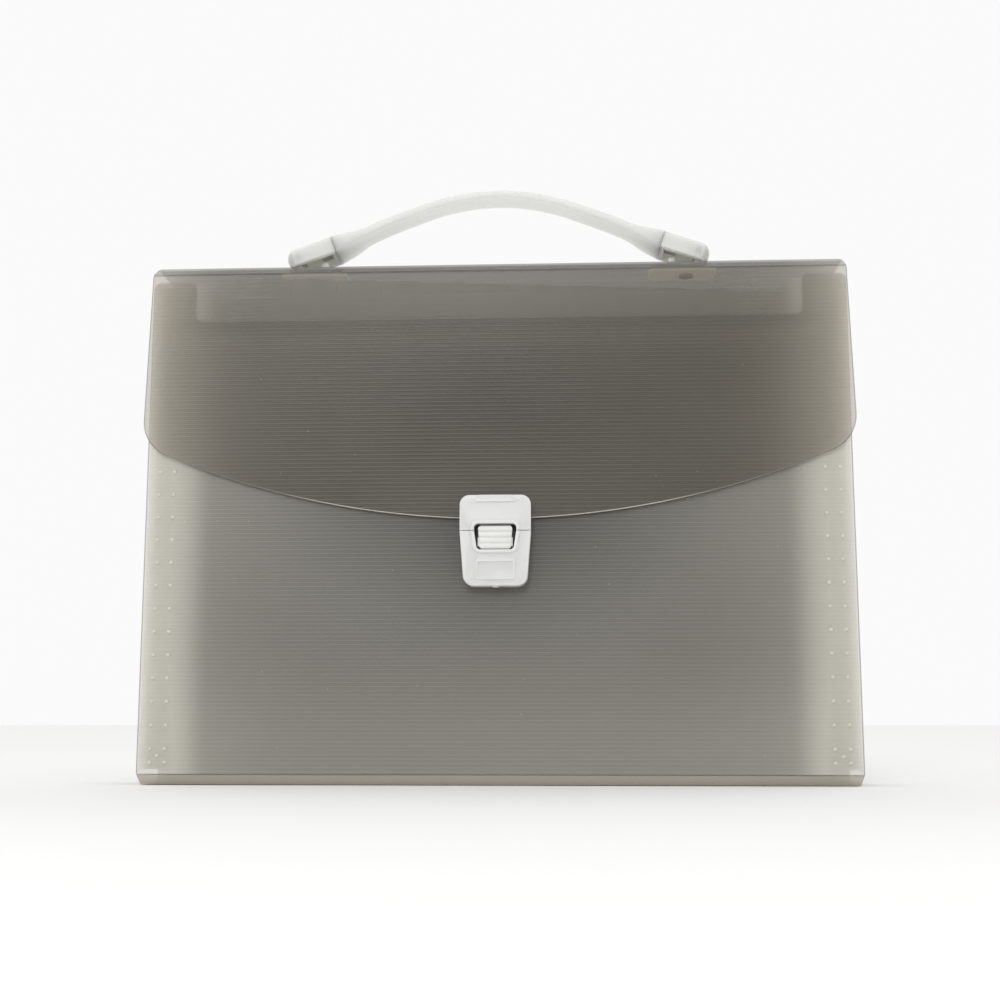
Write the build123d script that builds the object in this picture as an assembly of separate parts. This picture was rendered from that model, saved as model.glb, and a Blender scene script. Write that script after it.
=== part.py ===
"""Expanding file case with carry handle and press-pad clasp, in millimetres.

X is the width, Y the depth with the front at -Y, Z is up.
The origin is the centre of the flat bottom that the case stands on.
"""

import os
from math import acos, cos, radians, sin, sqrt, tan

from build123d import *

os.makedirs("parts", exist_ok=True)

# Case sizes
WIDTH = 330.0  # side to side over the front sheet
DEPTH = 36.0  # front sheet to back sheet, outside
HEIGHT = 245.6  # floor to the top of the case
BEVEL_RISE = 5.2  # height of each bevelled strip
BEVEL_RUN = 4.0  # depth of each bevelled strip
SHEET = 0.9  # thickness of the creased shell sheet
BEVEL_TAPER = 1.1  # how far a bevelled strip draws in at its ends
SPINE_CORNER = 1.8  # rounding at the ends of the top spine

# Clearances
SEAT = 0.3  # between pieces that lie against each other
CREASE_GAP = 0.32  # slit left at a crease that folds
EDGE_ROUND = 0.4  # rounding of the front sheet's foot
BORE_CLEARANCE = 0.05  # radial, round rivets
RUN_CLEARANCE = 0.06  # radial, round pins that turn

# Front sheet
EAR_TOP_DROP = 2.9  # ear top below the upper crease
EAR_WIDTH = 20.6
EAR_CORNER = 3.5
RECESS_DEPTH = 19.7
RECESS_CORNER = 4.0

# Flap
FLAP_DROP = 119.2  # upper crease to the lowest point of the flap
FLAP_ARC_RADIUS = 405.0
FLAP_FLARE = 2.3  # each side, at the lower corners
FLAP_CORNER = 18.0
FLAP_STANDOFF = 1.5  # flap inside to front sheet outside

# Pleated sides
POCKETS = 13
FILM = 0.3
GUSSET_FOOT = 1.8  # bottom of the films above the lower crease
GUSSET_TOP_DROP = 4.4  # top of the films below the upper crease
GUSSET_FOLD_INSET = 2.3  # outer folds inside the sheet's edge
GUSSET_TAB_INSET = 1.1  # end tabs inside the sheet's edge
GUSSET_TAB = 15.5
GUSSET_REACH = 22.2  # outer fold to inner fold

# Dividers
DIVIDER = 0.5
DIVIDER_TOP_DROP = 9.4  # top edge below the upper crease
DIVIDER_CORNER = 3.0
INDEX_TAB_WIDTH = 38.0
INDEX_TAB_RISE = 9.0
INDEX_TAB_SPAN = 236.0  # first tab centre to last tab centre

# Clasp
CLASP_WIDTH = 32.8
CLASP_WIDTH_LOW = 28.9
CLASP_DEPTH = 8.0  # front sheet to the face of the clasp
SPLIT_DROP = 6.3  # parting of the clasp below the lowest point of the flap
KEEPER_RISE = 25.3  # lower half, from its foot to the parting
HASP_RISE = 16.7  # parting to the top of the upper half
CLASP_TOP_CORNER = 4.5
CLASP_LOW_CORNER = 5.0
CLASP_EDGE = 0.8
WINDOW_WIDTH = 19.5
WINDOW_WIDTH_LOW = 16.8
WINDOW_BELOW = 8.7  # window below the parting
WINDOW_ABOVE = 3.4  # window above the parting
WINDOW_CORNER = 2.0
RIM = 1.7
RIM_PROUD = 0.6
RIM_EDGE = 0.4
LIP_WIDTH = 18.6
LIP_WIDTH_TOP = 15.6
LIP_RISE = 3.2
LIP_PROUD = 0.6
BADGE_WIDTH = 17.8
BADGE_RISE = 9.2
BADGE_FOOT = 2.8  # border above the foot of the clasp
BADGE_BORDER = 0.9
BADGE_PROUD = 0.4
NUB_WIDTH = 2.8
NUB_RISE = 0.5
PAD_WIDTH = 15.9
PAD_WIDTH_LOW = 14.3
PAD_GAP_ABOVE = 1.1
PAD_GAP_BELOW = 0.4
PAD_THICK = 1.6
PAD_CORNER = 1.4
PAD_RIBS = 4
PAD_GROOVE_DEPTH = 0.5
LUG_WIDTH = 0.9
LUG_LIFT = 1.2  # lugs above the foot of the pad
LUG_THICK = 0.9
TONGUE_WIDTH = 14.0
TONGUE_THICK = 1.0
PEG_RADIUS = 0.8
PEG_HEAD_RADIUS = 1.2
PEG_HEAD = 0.5
PEG_SPACING = 10.0
PEG_PLAY = 0.05
SPRING_WIDTH = 6.0
SPRING_THICK = 0.3
SPRING_CROWN = 1.8  # flat part that meets the pad
SPRING_LEG = 1.2  # run of each sloping leg
SPRING_FOOT = 1.3
BACK_PLATE = 0.7
BACK_PLATE_WIDTH = 30.0
HASP_PLATE_RISE = 7.0
KEEPER_PLATE_RISE = 10.0
CLASP_RIVET_RADIUS = 1.5
CLASP_RIVET_HEAD = 0.4
CLASP_RIVET_HEAD_RADIUS = 2.6
HASP_RIVET_SPACING = 23.0
KEEPER_RIVET_SPACING = 21.0
RIVET_BITE = 4.0  # how far a clasp rivet reaches into the moulding
KEEPER_POCKET_WIDTH = 11.0
KEEPER_WALL = 1.6

# Handle
HANDLE_ANGLE = 19.0  # slope of the end caps
CAP_JOINT_X = 80.1  # middle of the face where strap and cap meet
CAP_JOINT_RISE = 12.7  # the same point above the top of the case
CAP_LENGTH = 23.6
CAP_HEIGHT = 8.6
CAP_WIDTH = 20.0
CAP_WALL = 2.0
CAP_TOP_ROUND = 5.2
CAP_LOW_ROUND = 3.3
CAP_EDGE = 0.9
CAP_TIP_RUN = 3.5  # length of the tapered tip
CAP_TIP_TAPER = 2.2  # each side, at the tip
PIN_REACH = 18.0  # joint face to pin, along the cap
PIN_RADIUS = 1.0
PIN_BLIND = 0.2
KNUCKLE_THICK = 3.4
BASE_INNER_X = 75.9
BASE_LENGTH = 25.0
BASE_THICK = 1.5
HOOK_X = 84.6
HOOK_LENGTH = 3.0
HOOK_WIDTH = 10.0
HOOK_RISE = 3.6
TANG_LENGTH = 8.0
TANG_WIDTH = 12.0
TANG_THICK = 3.0
STRAP_WIDTH = 16.0
STRAP_CROWN = 39.8  # top of the strap above the top of the case
STRAP_THICK = 3.7
BELL_LENGTH = 6.6  # wide end of the strap beside the cap
BELL_TAPER = 9.0
INNER_PLATE_LENGTH = 32.0
INNER_PLATE_THICK = 1.6
PLATE_RIVET_X = 91.5
PLATE_RIVET_RADIUS = 2.0
PLATE_RIVET_HEAD_RADIUS = 3.5
PLATE_RIVET_HEAD = 1.0

# Strap outline from the middle outwards, each row a share of three sizes: of the half span,
# of the rise above the joints with the caps, and of the depth at the crown
STRAP_ARCH = (
    (0.200, 0.041, 1.08),
    (0.387, 0.173, 1.11),
    (0.537, 0.321, 1.24),
    (0.680, 0.480, 1.32),
    (0.805, 0.642, 1.41),
    (0.880, 0.720, 1.86),
)

# Places worked out from the sizes
HALF = SHEET / 2
FRONT = -DEPTH / 2
BACK = DEPTH / 2
LOW_CREASE = BEVEL_RISE
HIGH_CREASE = HEIGHT - BEVEL_RISE
TOP = HEIGHT
FLAP_INSIDE = FRONT - FLAP_STANDOFF
FLAP_OUTSIDE = FLAP_INSIDE - SHEET
FLAP_MID = FLAP_INSIDE - HALF
FRONT_CREASE = (FRONT + HALF, LOW_CREASE)
LID_CREASE = (BACK - HALF, HIGH_CREASE)
FLAP_CREASE = (FLAP_MID, HIGH_CREASE)
SPINE_LINE = [
    FLAP_CREASE,
    (FRONT + BEVEL_RUN, TOP - HALF),
    (BACK - BEVEL_RUN, TOP - HALF),
    LID_CREASE,
]
FOLD_FRONT = FRONT + SHEET + SEAT + FILM / 2
FOLD_BACK = -FOLD_FRONT
PLEAT = (FOLD_BACK - FOLD_FRONT) / (POCKETS - 1)
GUSSET_BOTTOM = LOW_CREASE + GUSSET_FOOT
GUSSET_TOP = HIGH_CREASE - GUSSET_TOP_DROP
DIVIDER_TOP = HIGH_CREASE - DIVIDER_TOP_DROP
CLASP_FACE = FRONT - CLASP_DEPTH
CLASP_SPLIT = HIGH_CREASE - FLAP_DROP - SPLIT_DROP
CLASP_BOTTOM = CLASP_SPLIT - KEEPER_RISE
CLASP_TOP = CLASP_SPLIT + HASP_RISE
WINDOW_BOTTOM = CLASP_SPLIT - WINDOW_BELOW
WINDOW_TOP = CLASP_SPLIT + WINDOW_ABOVE
BADGE_BOTTOM = CLASP_BOTTOM + BADGE_FOOT


def save(shape, name):
    """Write one node to its STEP file."""
    shape.label = name
    export_step(shape, f"parts/{name}.step")


def unit(a, b):
    """Direction from point a to point b, both (y, z)."""
    length = sqrt((b[0] - a[0]) ** 2 + (b[1] - a[1]) ** 2)
    return (b[0] - a[0]) / length, (b[1] - a[1]) / length


def sheet_section(points, trim_start, trim_end, half=HALF):
    """Face of a folded sheet in the YZ plane round a centre line of (y, z) points.

    A positive trim shortens that end, a negative one lengthens it, and half is half the
    thickness of the sheet.
    """
    first = unit(points[0], points[1])
    last = unit(points[-2], points[-1])
    line = list(points)
    line[0] = (points[0][0] + first[0] * trim_start, points[0][1] + first[1] * trim_start)
    line[-1] = (points[-1][0] - last[0] * trim_end, points[-1][1] - last[1] * trim_end)
    sides = ([], [])
    for i, point in enumerate(line):
        before = unit(line[max(i - 1, 0)], line[max(i, 1)])
        after = unit(line[min(i, len(line) - 2)], line[min(i + 1, len(line) - 1)])
        normal = (-(before[1] + after[1]), before[0] + after[0])
        size = sqrt(normal[0] ** 2 + normal[1] ** 2)
        normal = (normal[0] / size, normal[1] / size)
        reach = half / (normal[0] * -before[1] + normal[1] * before[0])
        for side, sign in zip(sides, (1, -1)):
            side.append((point[0] + sign * reach * normal[0], point[1] + sign * reach * normal[1]))
    outline = sides[0] + sides[1][::-1]
    return make_face(Plane.YZ * Polyline(*outline, close=True))


def front_view(face, y_from, y_to):
    """Extrude a face drawn as (x, z) from y_from to y_to."""
    drawn = Pos(0, y_from, 0) * (Plane.XZ * face)
    return extrude(drawn, amount=y_to - y_from, dir=(0, 1, 0))


def across(section, width=WIDTH):
    """Extrude a face in the YZ plane over a width centred on the case."""
    return Pos(-width / 2, 0, 0) * extrude(section, amount=width, dir=(1, 0, 0))


def round_ends(face, radius):
    """Round the two lowest and the two highest corners of a face drawn as (x, z)."""
    corners = face.vertices().sort_by(Axis.Y)
    return fillet(corners[:2] + corners[-2:], radius)


def rod(radius, y_from, y_to, x, z):
    """Round bar along Y."""
    return Pos(x, (y_from + y_to) / 2, z) * Rot(90, 0, 0) * Cylinder(radius, y_to - y_from)


def block(x_from, x_to, y_from, y_to, z_from, z_to):
    """Box between limits."""
    middle = Pos((x_from + x_to) / 2, (y_from + y_to) / 2, (z_from + z_to) / 2)
    return middle * Box(x_to - x_from, y_to - y_from, z_to - z_from)


def outer_rise(upright, other):
    """Height of a crease's outer edge over the middle of the sheets that meet there.

    upright is the middle of the crease under which one sheet hangs straight down, and other
    is the next point of the second sheet. The parts turn about that outer edge.
    """
    turn = acos(unit(upright, other)[1])
    return HALF * tan(turn / 2)


# Shell: back sheet and bottom spine in one folded sheet
half_width = WIDTH / 2
floor_line = HALF
bottom_line = [
    FRONT_CREASE,
    (FRONT + BEVEL_RUN, floor_line),
    (BACK - BEVEL_RUN, floor_line),
    (BACK - HALF, LOW_CREASE),
    LID_CREASE,
]
lid_rise = outer_rise(SPINE_LINE[-1], SPINE_LINE[-2])
flap_rise = outer_rise(SPINE_LINE[0], SPINE_LINE[1])
lid_trim = lid_rise + CREASE_GAP / 2
flap_trim = flap_rise + CREASE_GAP / 2
rear_shell = across(sheet_section(bottom_line, HALF + CREASE_GAP, lid_trim))
rear_outline = make_face(
    Polyline(
        (-half_width + BEVEL_TAPER, 0),
        (half_width - BEVEL_TAPER, 0),
        (half_width, LOW_CREASE),
        (half_width, TOP),
        (-half_width, TOP),
        (-half_width, LOW_CREASE),
        close=True,
    )
)
rear_shell = rear_shell & front_view(rear_outline, FRONT - SHEET, BACK + SHEET)
save(rear_shell, "rear_shell")

# Top spine with a bevelled strip at the front and at the back
top_spine = across(sheet_section(SPINE_LINE, flap_trim, lid_trim))
spine_outline = make_face(
    Polyline(
        (-half_width, LOW_CREASE),
        (half_width, LOW_CREASE),
        (half_width, HIGH_CREASE),
        (half_width - BEVEL_TAPER, TOP),
        (-half_width + BEVEL_TAPER, TOP),
        (-half_width, HIGH_CREASE),
        close=True,
    )
)
spine_outline = fillet(spine_outline.vertices().sort_by(Axis.Y)[-2:], SPINE_CORNER)
top_spine = top_spine & front_view(spine_outline, FLAP_OUTSIDE - SHEET, BACK + SHEET)
for side in (-1, 1):
    hole_radius = PLATE_RIVET_RADIUS + BORE_CLEARANCE
    top_spine -= Pos(side * PLATE_RIVET_X, 0, TOP) * Cylinder(hole_radius, 4 * SHEET)
save(top_spine, "top_spine")

# Front sheet with its ears
ear_top = HIGH_CREASE - EAR_TOP_DROP
front_foot = LOW_CREASE - HALF
front_rise = ear_top - front_foot
recess_width = WIDTH - 2 * EAR_WIDTH
front_face = Pos(0, (front_foot + ear_top) / 2) * Rectangle(WIDTH, front_rise)
front_face -= Pos(0, ear_top) * Rectangle(recess_width, 2 * RECESS_DEPTH)
ear_corners = [v for v in front_face.vertices() if abs(v.Y - ear_top) < EDGE_ROUND]
front_face = fillet(ear_corners, EAR_CORNER)
recess_floor = ear_top - RECESS_DEPTH
recess_corners = [v for v in front_face.vertices() if abs(v.Y - recess_floor) < EDGE_ROUND]
front_face = fillet(recess_corners, RECESS_CORNER)
front_panel = front_view(front_face, FRONT, FRONT + SHEET)
front_panel = fillet(front_panel.edges().filter_by(Axis.X).sort_by(Axis.Z)[:2], EDGE_ROUND)
keeper_rivet_z = BADGE_BOTTOM + BADGE_RISE / 2
keeper_rivet_xs = (-KEEPER_RIVET_SPACING / 2, KEEPER_RIVET_SPACING / 2)
for x in keeper_rivet_xs:
    hole_radius = CLASP_RIVET_RADIUS + BORE_CLEARANCE
    front_panel -= rod(hole_radius, FRONT - SHEET, FRONT + 2 * SHEET, x, keeper_rivet_z)
save(front_panel, "front_panel")

# Flap with its curved lower edge
flap_top = HIGH_CREASE - flap_trim
flap_low = HIGH_CREASE - FLAP_DROP
flare_half = half_width + FLAP_FLARE
arc_rise = FLAP_ARC_RADIUS - sqrt(FLAP_ARC_RADIUS**2 - flare_half**2)
flap_left = (-flare_half, flap_low + arc_rise)
flap_right = (flare_half, flap_low + arc_rise)
flap_face = make_face(
    [
        Polyline(flap_left, (-half_width, flap_top), (half_width, flap_top), flap_right),
        ThreePointArc(flap_right, (0, flap_low), flap_left),
    ]
)
flap_face = fillet(flap_face.vertices().sort_by(Axis.Y)[:2], FLAP_CORNER)
flap = front_view(flap_face, FLAP_OUTSIDE, FLAP_INSIDE)
hasp_rivet_z = (flap_low + CLASP_TOP) / 2 + HALF
hasp_rivet_xs = (-HASP_RIVET_SPACING / 2, HASP_RIVET_SPACING / 2)
for x in hasp_rivet_xs:
    hole_radius = CLASP_RIVET_RADIUS + BORE_CLEARANCE
    flap -= rod(hole_radius, FLAP_OUTSIDE - SHEET, FLAP_INSIDE + SHEET, x, hasp_rivet_z)
save(flap, "flap")

# Pleated side films, one continuous folded film on each side
fold_outer = half_width - GUSSET_FOLD_INSET
fold_inner = fold_outer - GUSSET_REACH
tab_outer = half_width - GUSSET_TAB_INSET
half_film = FILM / 2
notch = half_film / ((PLEAT / 2) / GUSSET_REACH)
end_notch = FILM / ((PLEAT / 2) / (tab_outer - fold_inner))
tab_inner = tab_outer - GUSSET_TAB
inside_wall = [
    (tab_inner, FOLD_FRONT + half_film),
    (tab_outer - end_notch, FOLD_FRONT + half_film),
]
outside_wall = [
    (tab_inner, FOLD_FRONT - half_film),
    (tab_outer, FOLD_FRONT - half_film),
    (tab_outer, FOLD_FRONT + half_film),
]
for k in range(POCKETS - 1):
    y_inner = FOLD_FRONT + (k + 0.5) * PLEAT
    y_outer = FOLD_FRONT + (k + 1) * PLEAT
    inside_wall += [(fold_inner, y_inner - half_film), (fold_inner, y_inner + half_film)]
    outside_wall += [(fold_inner + notch, y_inner)]
    if k < POCKETS - 2:
        inside_wall += [(fold_outer - notch, y_outer)]
        outside_wall += [(fold_outer, y_outer - half_film), (fold_outer, y_outer + half_film)]
inside_wall += [
    (tab_outer - end_notch, FOLD_BACK - half_film),
    (tab_inner, FOLD_BACK - half_film),
]
outside_wall += [
    (tab_outer, FOLD_BACK - half_film),
    (tab_outer, FOLD_BACK + half_film),
    (tab_inner, FOLD_BACK + half_film),
]
film_face = make_face(Polyline(*(inside_wall + outside_wall[::-1]), close=True))
film_rise = GUSSET_TOP - GUSSET_BOTTOM
gusset_right = Pos(0, 0, GUSSET_BOTTOM) * extrude(film_face, amount=film_rise, dir=(0, 0, 1))
save(gusset_right, "gusset_right")
save(mirror(gusset_right, Plane.YZ), "gusset_left")

# Dividers with stepped index tabs
divider_width = 2 * (fold_inner - SEAT)
dividers = POCKETS - 1
for k in range(dividers):
    y = FOLD_FRONT + (k + 0.5) * PLEAT
    tab_x = -INDEX_TAB_SPAN / 2 + k * INDEX_TAB_SPAN / (dividers - 1)
    tab_top = DIVIDER_TOP + INDEX_TAB_RISE
    face = Pos(0, (GUSSET_BOTTOM + DIVIDER_TOP) / 2) * Rectangle(
        divider_width, DIVIDER_TOP - GUSSET_BOTTOM
    )
    face = chamfer(face.vertices(), DIVIDER_CORNER)
    tab = Pos(tab_x, tab_top - INDEX_TAB_RISE) * Rectangle(INDEX_TAB_WIDTH, 2 * INDEX_TAB_RISE)
    tab = chamfer(tab.vertices(), DIVIDER_CORNER)
    save(front_view(face + tab, y - DIVIDER / 2, y + DIVIDER / 2), f"divider_{k + 1:02d}")

# Clasp, lower half on the front sheet
half_clasp = CLASP_WIDTH / 2
keeper_top = CLASP_SPLIT
window_half = WINDOW_WIDTH / 2
window_low_half = WINDOW_WIDTH_LOW / 2
keeper_face = make_face(
    Polyline(
        (-CLASP_WIDTH_LOW / 2, CLASP_BOTTOM),
        (CLASP_WIDTH_LOW / 2, CLASP_BOTTOM),
        (half_clasp, keeper_top),
        (-half_clasp, keeper_top),
        close=True,
    )
)
keeper_face = fillet(keeper_face.vertices().sort_by(Axis.Y)[:2], CLASP_LOW_CORNER)
keeper = front_view(keeper_face, CLASP_FACE, FRONT)
keeper_front = keeper.faces().sort_by(Axis.Y)[0]
keeper = chamfer(keeper_front.edges().sort_by(Axis.Z)[:-1], CLASP_EDGE / 2)
window_face = make_face(
    Polyline(
        (-window_low_half, WINDOW_BOTTOM),
        (window_low_half, WINDOW_BOTTOM),
        (window_half, CLASP_SPLIT),
        (window_half, WINDOW_TOP),
        (-window_half, WINDOW_TOP),
        (-window_half, CLASP_SPLIT),
        close=True,
    )
)
rim_face = offset(window_face, RIM, kind=Kind.INTERSECTION)
rim_face = round_ends(rim_face, WINDOW_CORNER + RIM)
window_face = round_ends(window_face, WINDOW_CORNER)
rim = front_view(rim_face, CLASP_FACE - RIM_PROUD, CLASP_FACE + CLASP_EDGE)
rim = chamfer(rim.faces().sort_by(Axis.Y)[0].edges(), RIM_EDGE)
window = front_view(window_face, CLASP_FACE - CLASP_DEPTH, FRONT + SHEET)
below_split = block(-WIDTH, WIDTH, FRONT - 2 * CLASP_DEPTH, BACK, 0, keeper_top)
keeper += rim & below_split
badge_z = BADGE_BOTTOM + BADGE_RISE / 2
badge = Pos(0, badge_z) * Rectangle(BADGE_WIDTH, BADGE_RISE)
badge_hollow = Pos(0, badge_z) * Rectangle(
    BADGE_WIDTH - 2 * BADGE_BORDER, BADGE_RISE - 2 * BADGE_BORDER
)
badge = fillet(badge.vertices(), BADGE_BORDER) - badge_hollow
keeper += front_view(badge, CLASP_FACE - BADGE_PROUD, CLASP_FACE + CLASP_EDGE)
nub = block(
    -NUB_WIDTH / 2,
    NUB_WIDTH / 2,
    CLASP_FACE + CLASP_EDGE,
    CLASP_FACE + CLASP_DEPTH / 2,
    CLASP_BOTTOM - NUB_RISE,
    CLASP_BOTTOM + CLASP_EDGE,
)
keeper += nub
keeper -= window
pocket_top = WINDOW_BOTTOM - RIM
keeper -= block(
    -KEEPER_POCKET_WIDTH / 2,
    KEEPER_POCKET_WIDTH / 2,
    CLASP_FACE + KEEPER_WALL,
    FRONT + SHEET,
    CLASP_BOTTOM + KEEPER_WALL,
    pocket_top,
)
for x in keeper_rivet_xs:
    hole_radius = CLASP_RIVET_RADIUS + BORE_CLEARANCE
    keeper -= rod(hole_radius, FRONT - RIVET_BITE - SEAT, FRONT + SHEET, x, keeper_rivet_z)
save(keeper, "clasp_keeper")

keeper_plate = block(
    -BACK_PLATE_WIDTH / 2,
    BACK_PLATE_WIDTH / 2,
    FRONT + SHEET,
    FRONT + SHEET + BACK_PLATE,
    keeper_rivet_z - KEEPER_PLATE_RISE / 2,
    keeper_rivet_z + KEEPER_PLATE_RISE / 2,
)
for x in keeper_rivet_xs:
    hole_radius = CLASP_RIVET_RADIUS + BORE_CLEARANCE
    keeper_plate -= rod(hole_radius, FRONT, FRONT + 4 * SHEET, x, keeper_rivet_z)
save(keeper_plate, "keeper_back_plate")


def clasp_rivets(xs, z, tip_y, plate_y):
    """Rivets whose shanks run from tip_y to a head on the plate's far face."""
    rivets = []
    for x in xs:
        shank = rod(CLASP_RIVET_RADIUS, tip_y, plate_y + CLASP_RIVET_HEAD, x, z)
        head = rod(CLASP_RIVET_HEAD_RADIUS, plate_y, plate_y + CLASP_RIVET_HEAD, x, z)
        rivets.append(shank + head)
    return Compound(children=rivets)


save(
    clasp_rivets(
        keeper_rivet_xs, keeper_rivet_z, FRONT - RIVET_BITE, FRONT + SHEET + BACK_PLATE
    ),
    "keeper_rivets",
)

# Clasp, upper half on the flap, with the tongue behind the pad
hasp_foot = CLASP_SPLIT + SEAT
hasp_rise = CLASP_TOP - hasp_foot
hasp_face = Pos(0, hasp_foot + hasp_rise / 2) * Rectangle(CLASP_WIDTH, hasp_rise)
hasp_face = fillet(hasp_face.vertices().sort_by(Axis.Y)[-2:], CLASP_TOP_CORNER)
hasp = front_view(hasp_face, CLASP_FACE, FLAP_OUTSIDE)
hasp_front = hasp.faces().sort_by(Axis.Y)[0]
hasp = chamfer(hasp_front.edges().sort_by(Axis.Z)[1:], CLASP_EDGE / 2)
above_split = block(-WIDTH, WIDTH, FRONT - 2 * CLASP_DEPTH, BACK, hasp_foot, TOP)
hasp += rim & above_split
lip_foot = CLASP_TOP - LIP_RISE
lip_root = CLASP_FACE + CLASP_EDGE
lip_section = Polyline(
    (lip_root, lip_foot),
    (CLASP_FACE - LIP_PROUD, lip_foot),
    (CLASP_FACE, CLASP_TOP),
    (lip_root, CLASP_TOP),
    close=True,
)
lip_outline = Polyline(
    (-LIP_WIDTH / 2, lip_foot),
    (LIP_WIDTH / 2, lip_foot),
    (LIP_WIDTH_TOP / 2, CLASP_TOP),
    (-LIP_WIDTH_TOP / 2, CLASP_TOP),
    close=True,
)
lip = across(make_face(Plane.YZ * lip_section), LIP_WIDTH)
hasp += lip & front_view(make_face(lip_outline), CLASP_FACE - LIP_PROUD, lip_root)
hasp -= window
tongue_front = FLAP_OUTSIDE - TONGUE_THICK
tongue_foot = WINDOW_BOTTOM + 2 * TONGUE_THICK
tongue = block(
    -TONGUE_WIDTH / 2,
    TONGUE_WIDTH / 2,
    tongue_front,
    FLAP_OUTSIDE,
    tongue_foot,
    WINDOW_TOP + RIM / 2,
)
hasp += tongue
pad_top = WINDOW_TOP - PAD_GAP_ABOVE
pad_foot = WINDOW_BOTTOM + PAD_GAP_BELOW
pad_z = (pad_top + pad_foot) / 2
peg_xs = (-PEG_SPACING / 2, PEG_SPACING / 2)
for x in peg_xs:
    hasp -= rod(PEG_RADIUS + RUN_CLEARANCE, tongue_front - SHEET, FRONT, x, pad_z)
for x in hasp_rivet_xs:
    hole_radius = CLASP_RIVET_RADIUS + BORE_CLEARANCE
    hasp -= rod(hole_radius, FLAP_OUTSIDE - RIVET_BITE - SEAT, FRONT, x, hasp_rivet_z)
save(hasp, "hasp_plate")

hasp_plate_low = hasp_rivet_z - HASP_PLATE_RISE / 2
hasp_back = block(
    -BACK_PLATE_WIDTH / 2,
    BACK_PLATE_WIDTH / 2,
    FLAP_INSIDE,
    FLAP_INSIDE + BACK_PLATE,
    hasp_plate_low,
    hasp_plate_low + HASP_PLATE_RISE,
)
for x in hasp_rivet_xs:
    hole_radius = CLASP_RIVET_RADIUS + BORE_CLEARANCE
    hasp_back -= rod(hole_radius, FLAP_OUTSIDE, FRONT, x, hasp_rivet_z)
save(hasp_back, "hasp_back_plate")
save(
    clasp_rivets(
        hasp_rivet_xs, hasp_rivet_z, FLAP_OUTSIDE - RIVET_BITE, FLAP_INSIDE + BACK_PLATE
    ),
    "hasp_rivets",
)

# Press pad with rounded ribs, side lugs and two guide pegs
pad_face = make_face(
    Polyline(
        (-PAD_WIDTH_LOW / 2, pad_foot),
        (PAD_WIDTH_LOW / 2, pad_foot),
        (PAD_WIDTH / 2, pad_top),
        (-PAD_WIDTH / 2, pad_top),
        close=True,
    )
)
pad_face = round_ends(pad_face, PAD_CORNER)
pad_back = CLASP_FACE + PAD_THICK
groove_y = CLASP_FACE + PAD_GROOVE_DEPTH
rib_pitch = (pad_top - pad_foot) / PAD_RIBS
pad_lines = [
    Polyline((groove_y, pad_top), (pad_back, pad_top), (pad_back, pad_foot), (groove_y, pad_foot))
]
for i in range(PAD_RIBS):
    rib_z = pad_foot + i * rib_pitch
    pad_lines.append(
        ThreePointArc(
            (groove_y, rib_z), (CLASP_FACE, rib_z + rib_pitch / 2), (groove_y, rib_z + rib_pitch)
        )
    )
pad_section = make_face([Plane.YZ * line for line in pad_lines])
pad = across(pad_section, PAD_WIDTH) & front_view(pad_face, CLASP_FACE, pad_back)
for side in (-1, 1):
    lug_edges = sorted((side * PAD_WIDTH_LOW / 3, side * (PAD_WIDTH_LOW / 2 + LUG_WIDTH)))
    pad += block(*lug_edges, pad_back - LUG_THICK, pad_back, pad_foot + LUG_LIFT, pad_z)
peg_tip = FLAP_OUTSIDE + PEG_PLAY + PEG_HEAD
for x in peg_xs:
    pad += rod(PEG_RADIUS, pad_back, peg_tip, x, pad_z)
    pad += rod(PEG_HEAD_RADIUS, peg_tip - PEG_HEAD, peg_tip, x, pad_z)
save(pad, "press_pad")

# Leaf spring between the tongue and the pad, a bent strip with two feet on the tongue
spring_foot_y = tongue_front - SPRING_THICK / 2
spring_crown_y = pad_back + PEG_PLAY + SPRING_THICK / 2
spring_half = []
for reach, y in (
    (SPRING_CROWN / 2, spring_crown_y),
    (SPRING_CROWN / 2 + SPRING_LEG, spring_foot_y),
    (SPRING_CROWN / 2 + SPRING_LEG + SPRING_FOOT, spring_foot_y),
):
    spring_half.append((reach, y))
spring_line = [(y, pad_z - reach) for reach, y in spring_half[::-1]]
spring_line += [(y, pad_z + reach) for reach, y in spring_half]
spring = across(sheet_section(spring_line, 0, 0, SPRING_THICK / 2), SPRING_WIDTH)
save(spring, "pad_spring")

# Handle caps, drawn on the right side in a frame that slopes with the cap
slope = radians(HANDLE_ANGLE)
joint_z = TOP + CAP_JOINT_RISE
cap_frame = Pos(CAP_JOINT_X, 0, joint_z) * Rot(0, HANDLE_ANGLE, 0)
half_height = CAP_HEIGHT / 2
half_cap = CAP_WIDTH / 2
cap_side = Pos(CAP_LENGTH / 2, 0) * Rectangle(CAP_LENGTH, CAP_HEIGHT)
tip_corners = cap_side.vertices().sort_by(Axis.X)[-2:].sort_by(Axis.Y)
cap_side = fillet(tip_corners[-1], CAP_TOP_ROUND)
low_corner = cap_side.vertices().sort_by(Axis.Y)[:2].sort_by(Axis.X)[-1]
cap_side = fillet(low_corner, CAP_LOW_ROUND)
cap = front_view(cap_side, -half_cap, half_cap)
cap_outer_edges = [
    e
    for e in cap.edges()
    if abs(abs(e.center().Y) - half_cap) < CAP_EDGE and e.center().Z > -half_height + CAP_EDGE
]
cap = chamfer([e for e in cap_outer_edges if e.center().X > CAP_EDGE], CAP_EDGE)
tip_from = CAP_LENGTH - CAP_TIP_RUN
tip_half = half_cap - CAP_TIP_TAPER
cap_plan = make_face(
    Polyline(
        (0, -half_cap),
        (tip_from, -half_cap),
        (CAP_LENGTH, -tip_half),
        (CAP_LENGTH, tip_half),
        (tip_from, half_cap),
        (0, half_cap),
        close=True,
    )
)
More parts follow.
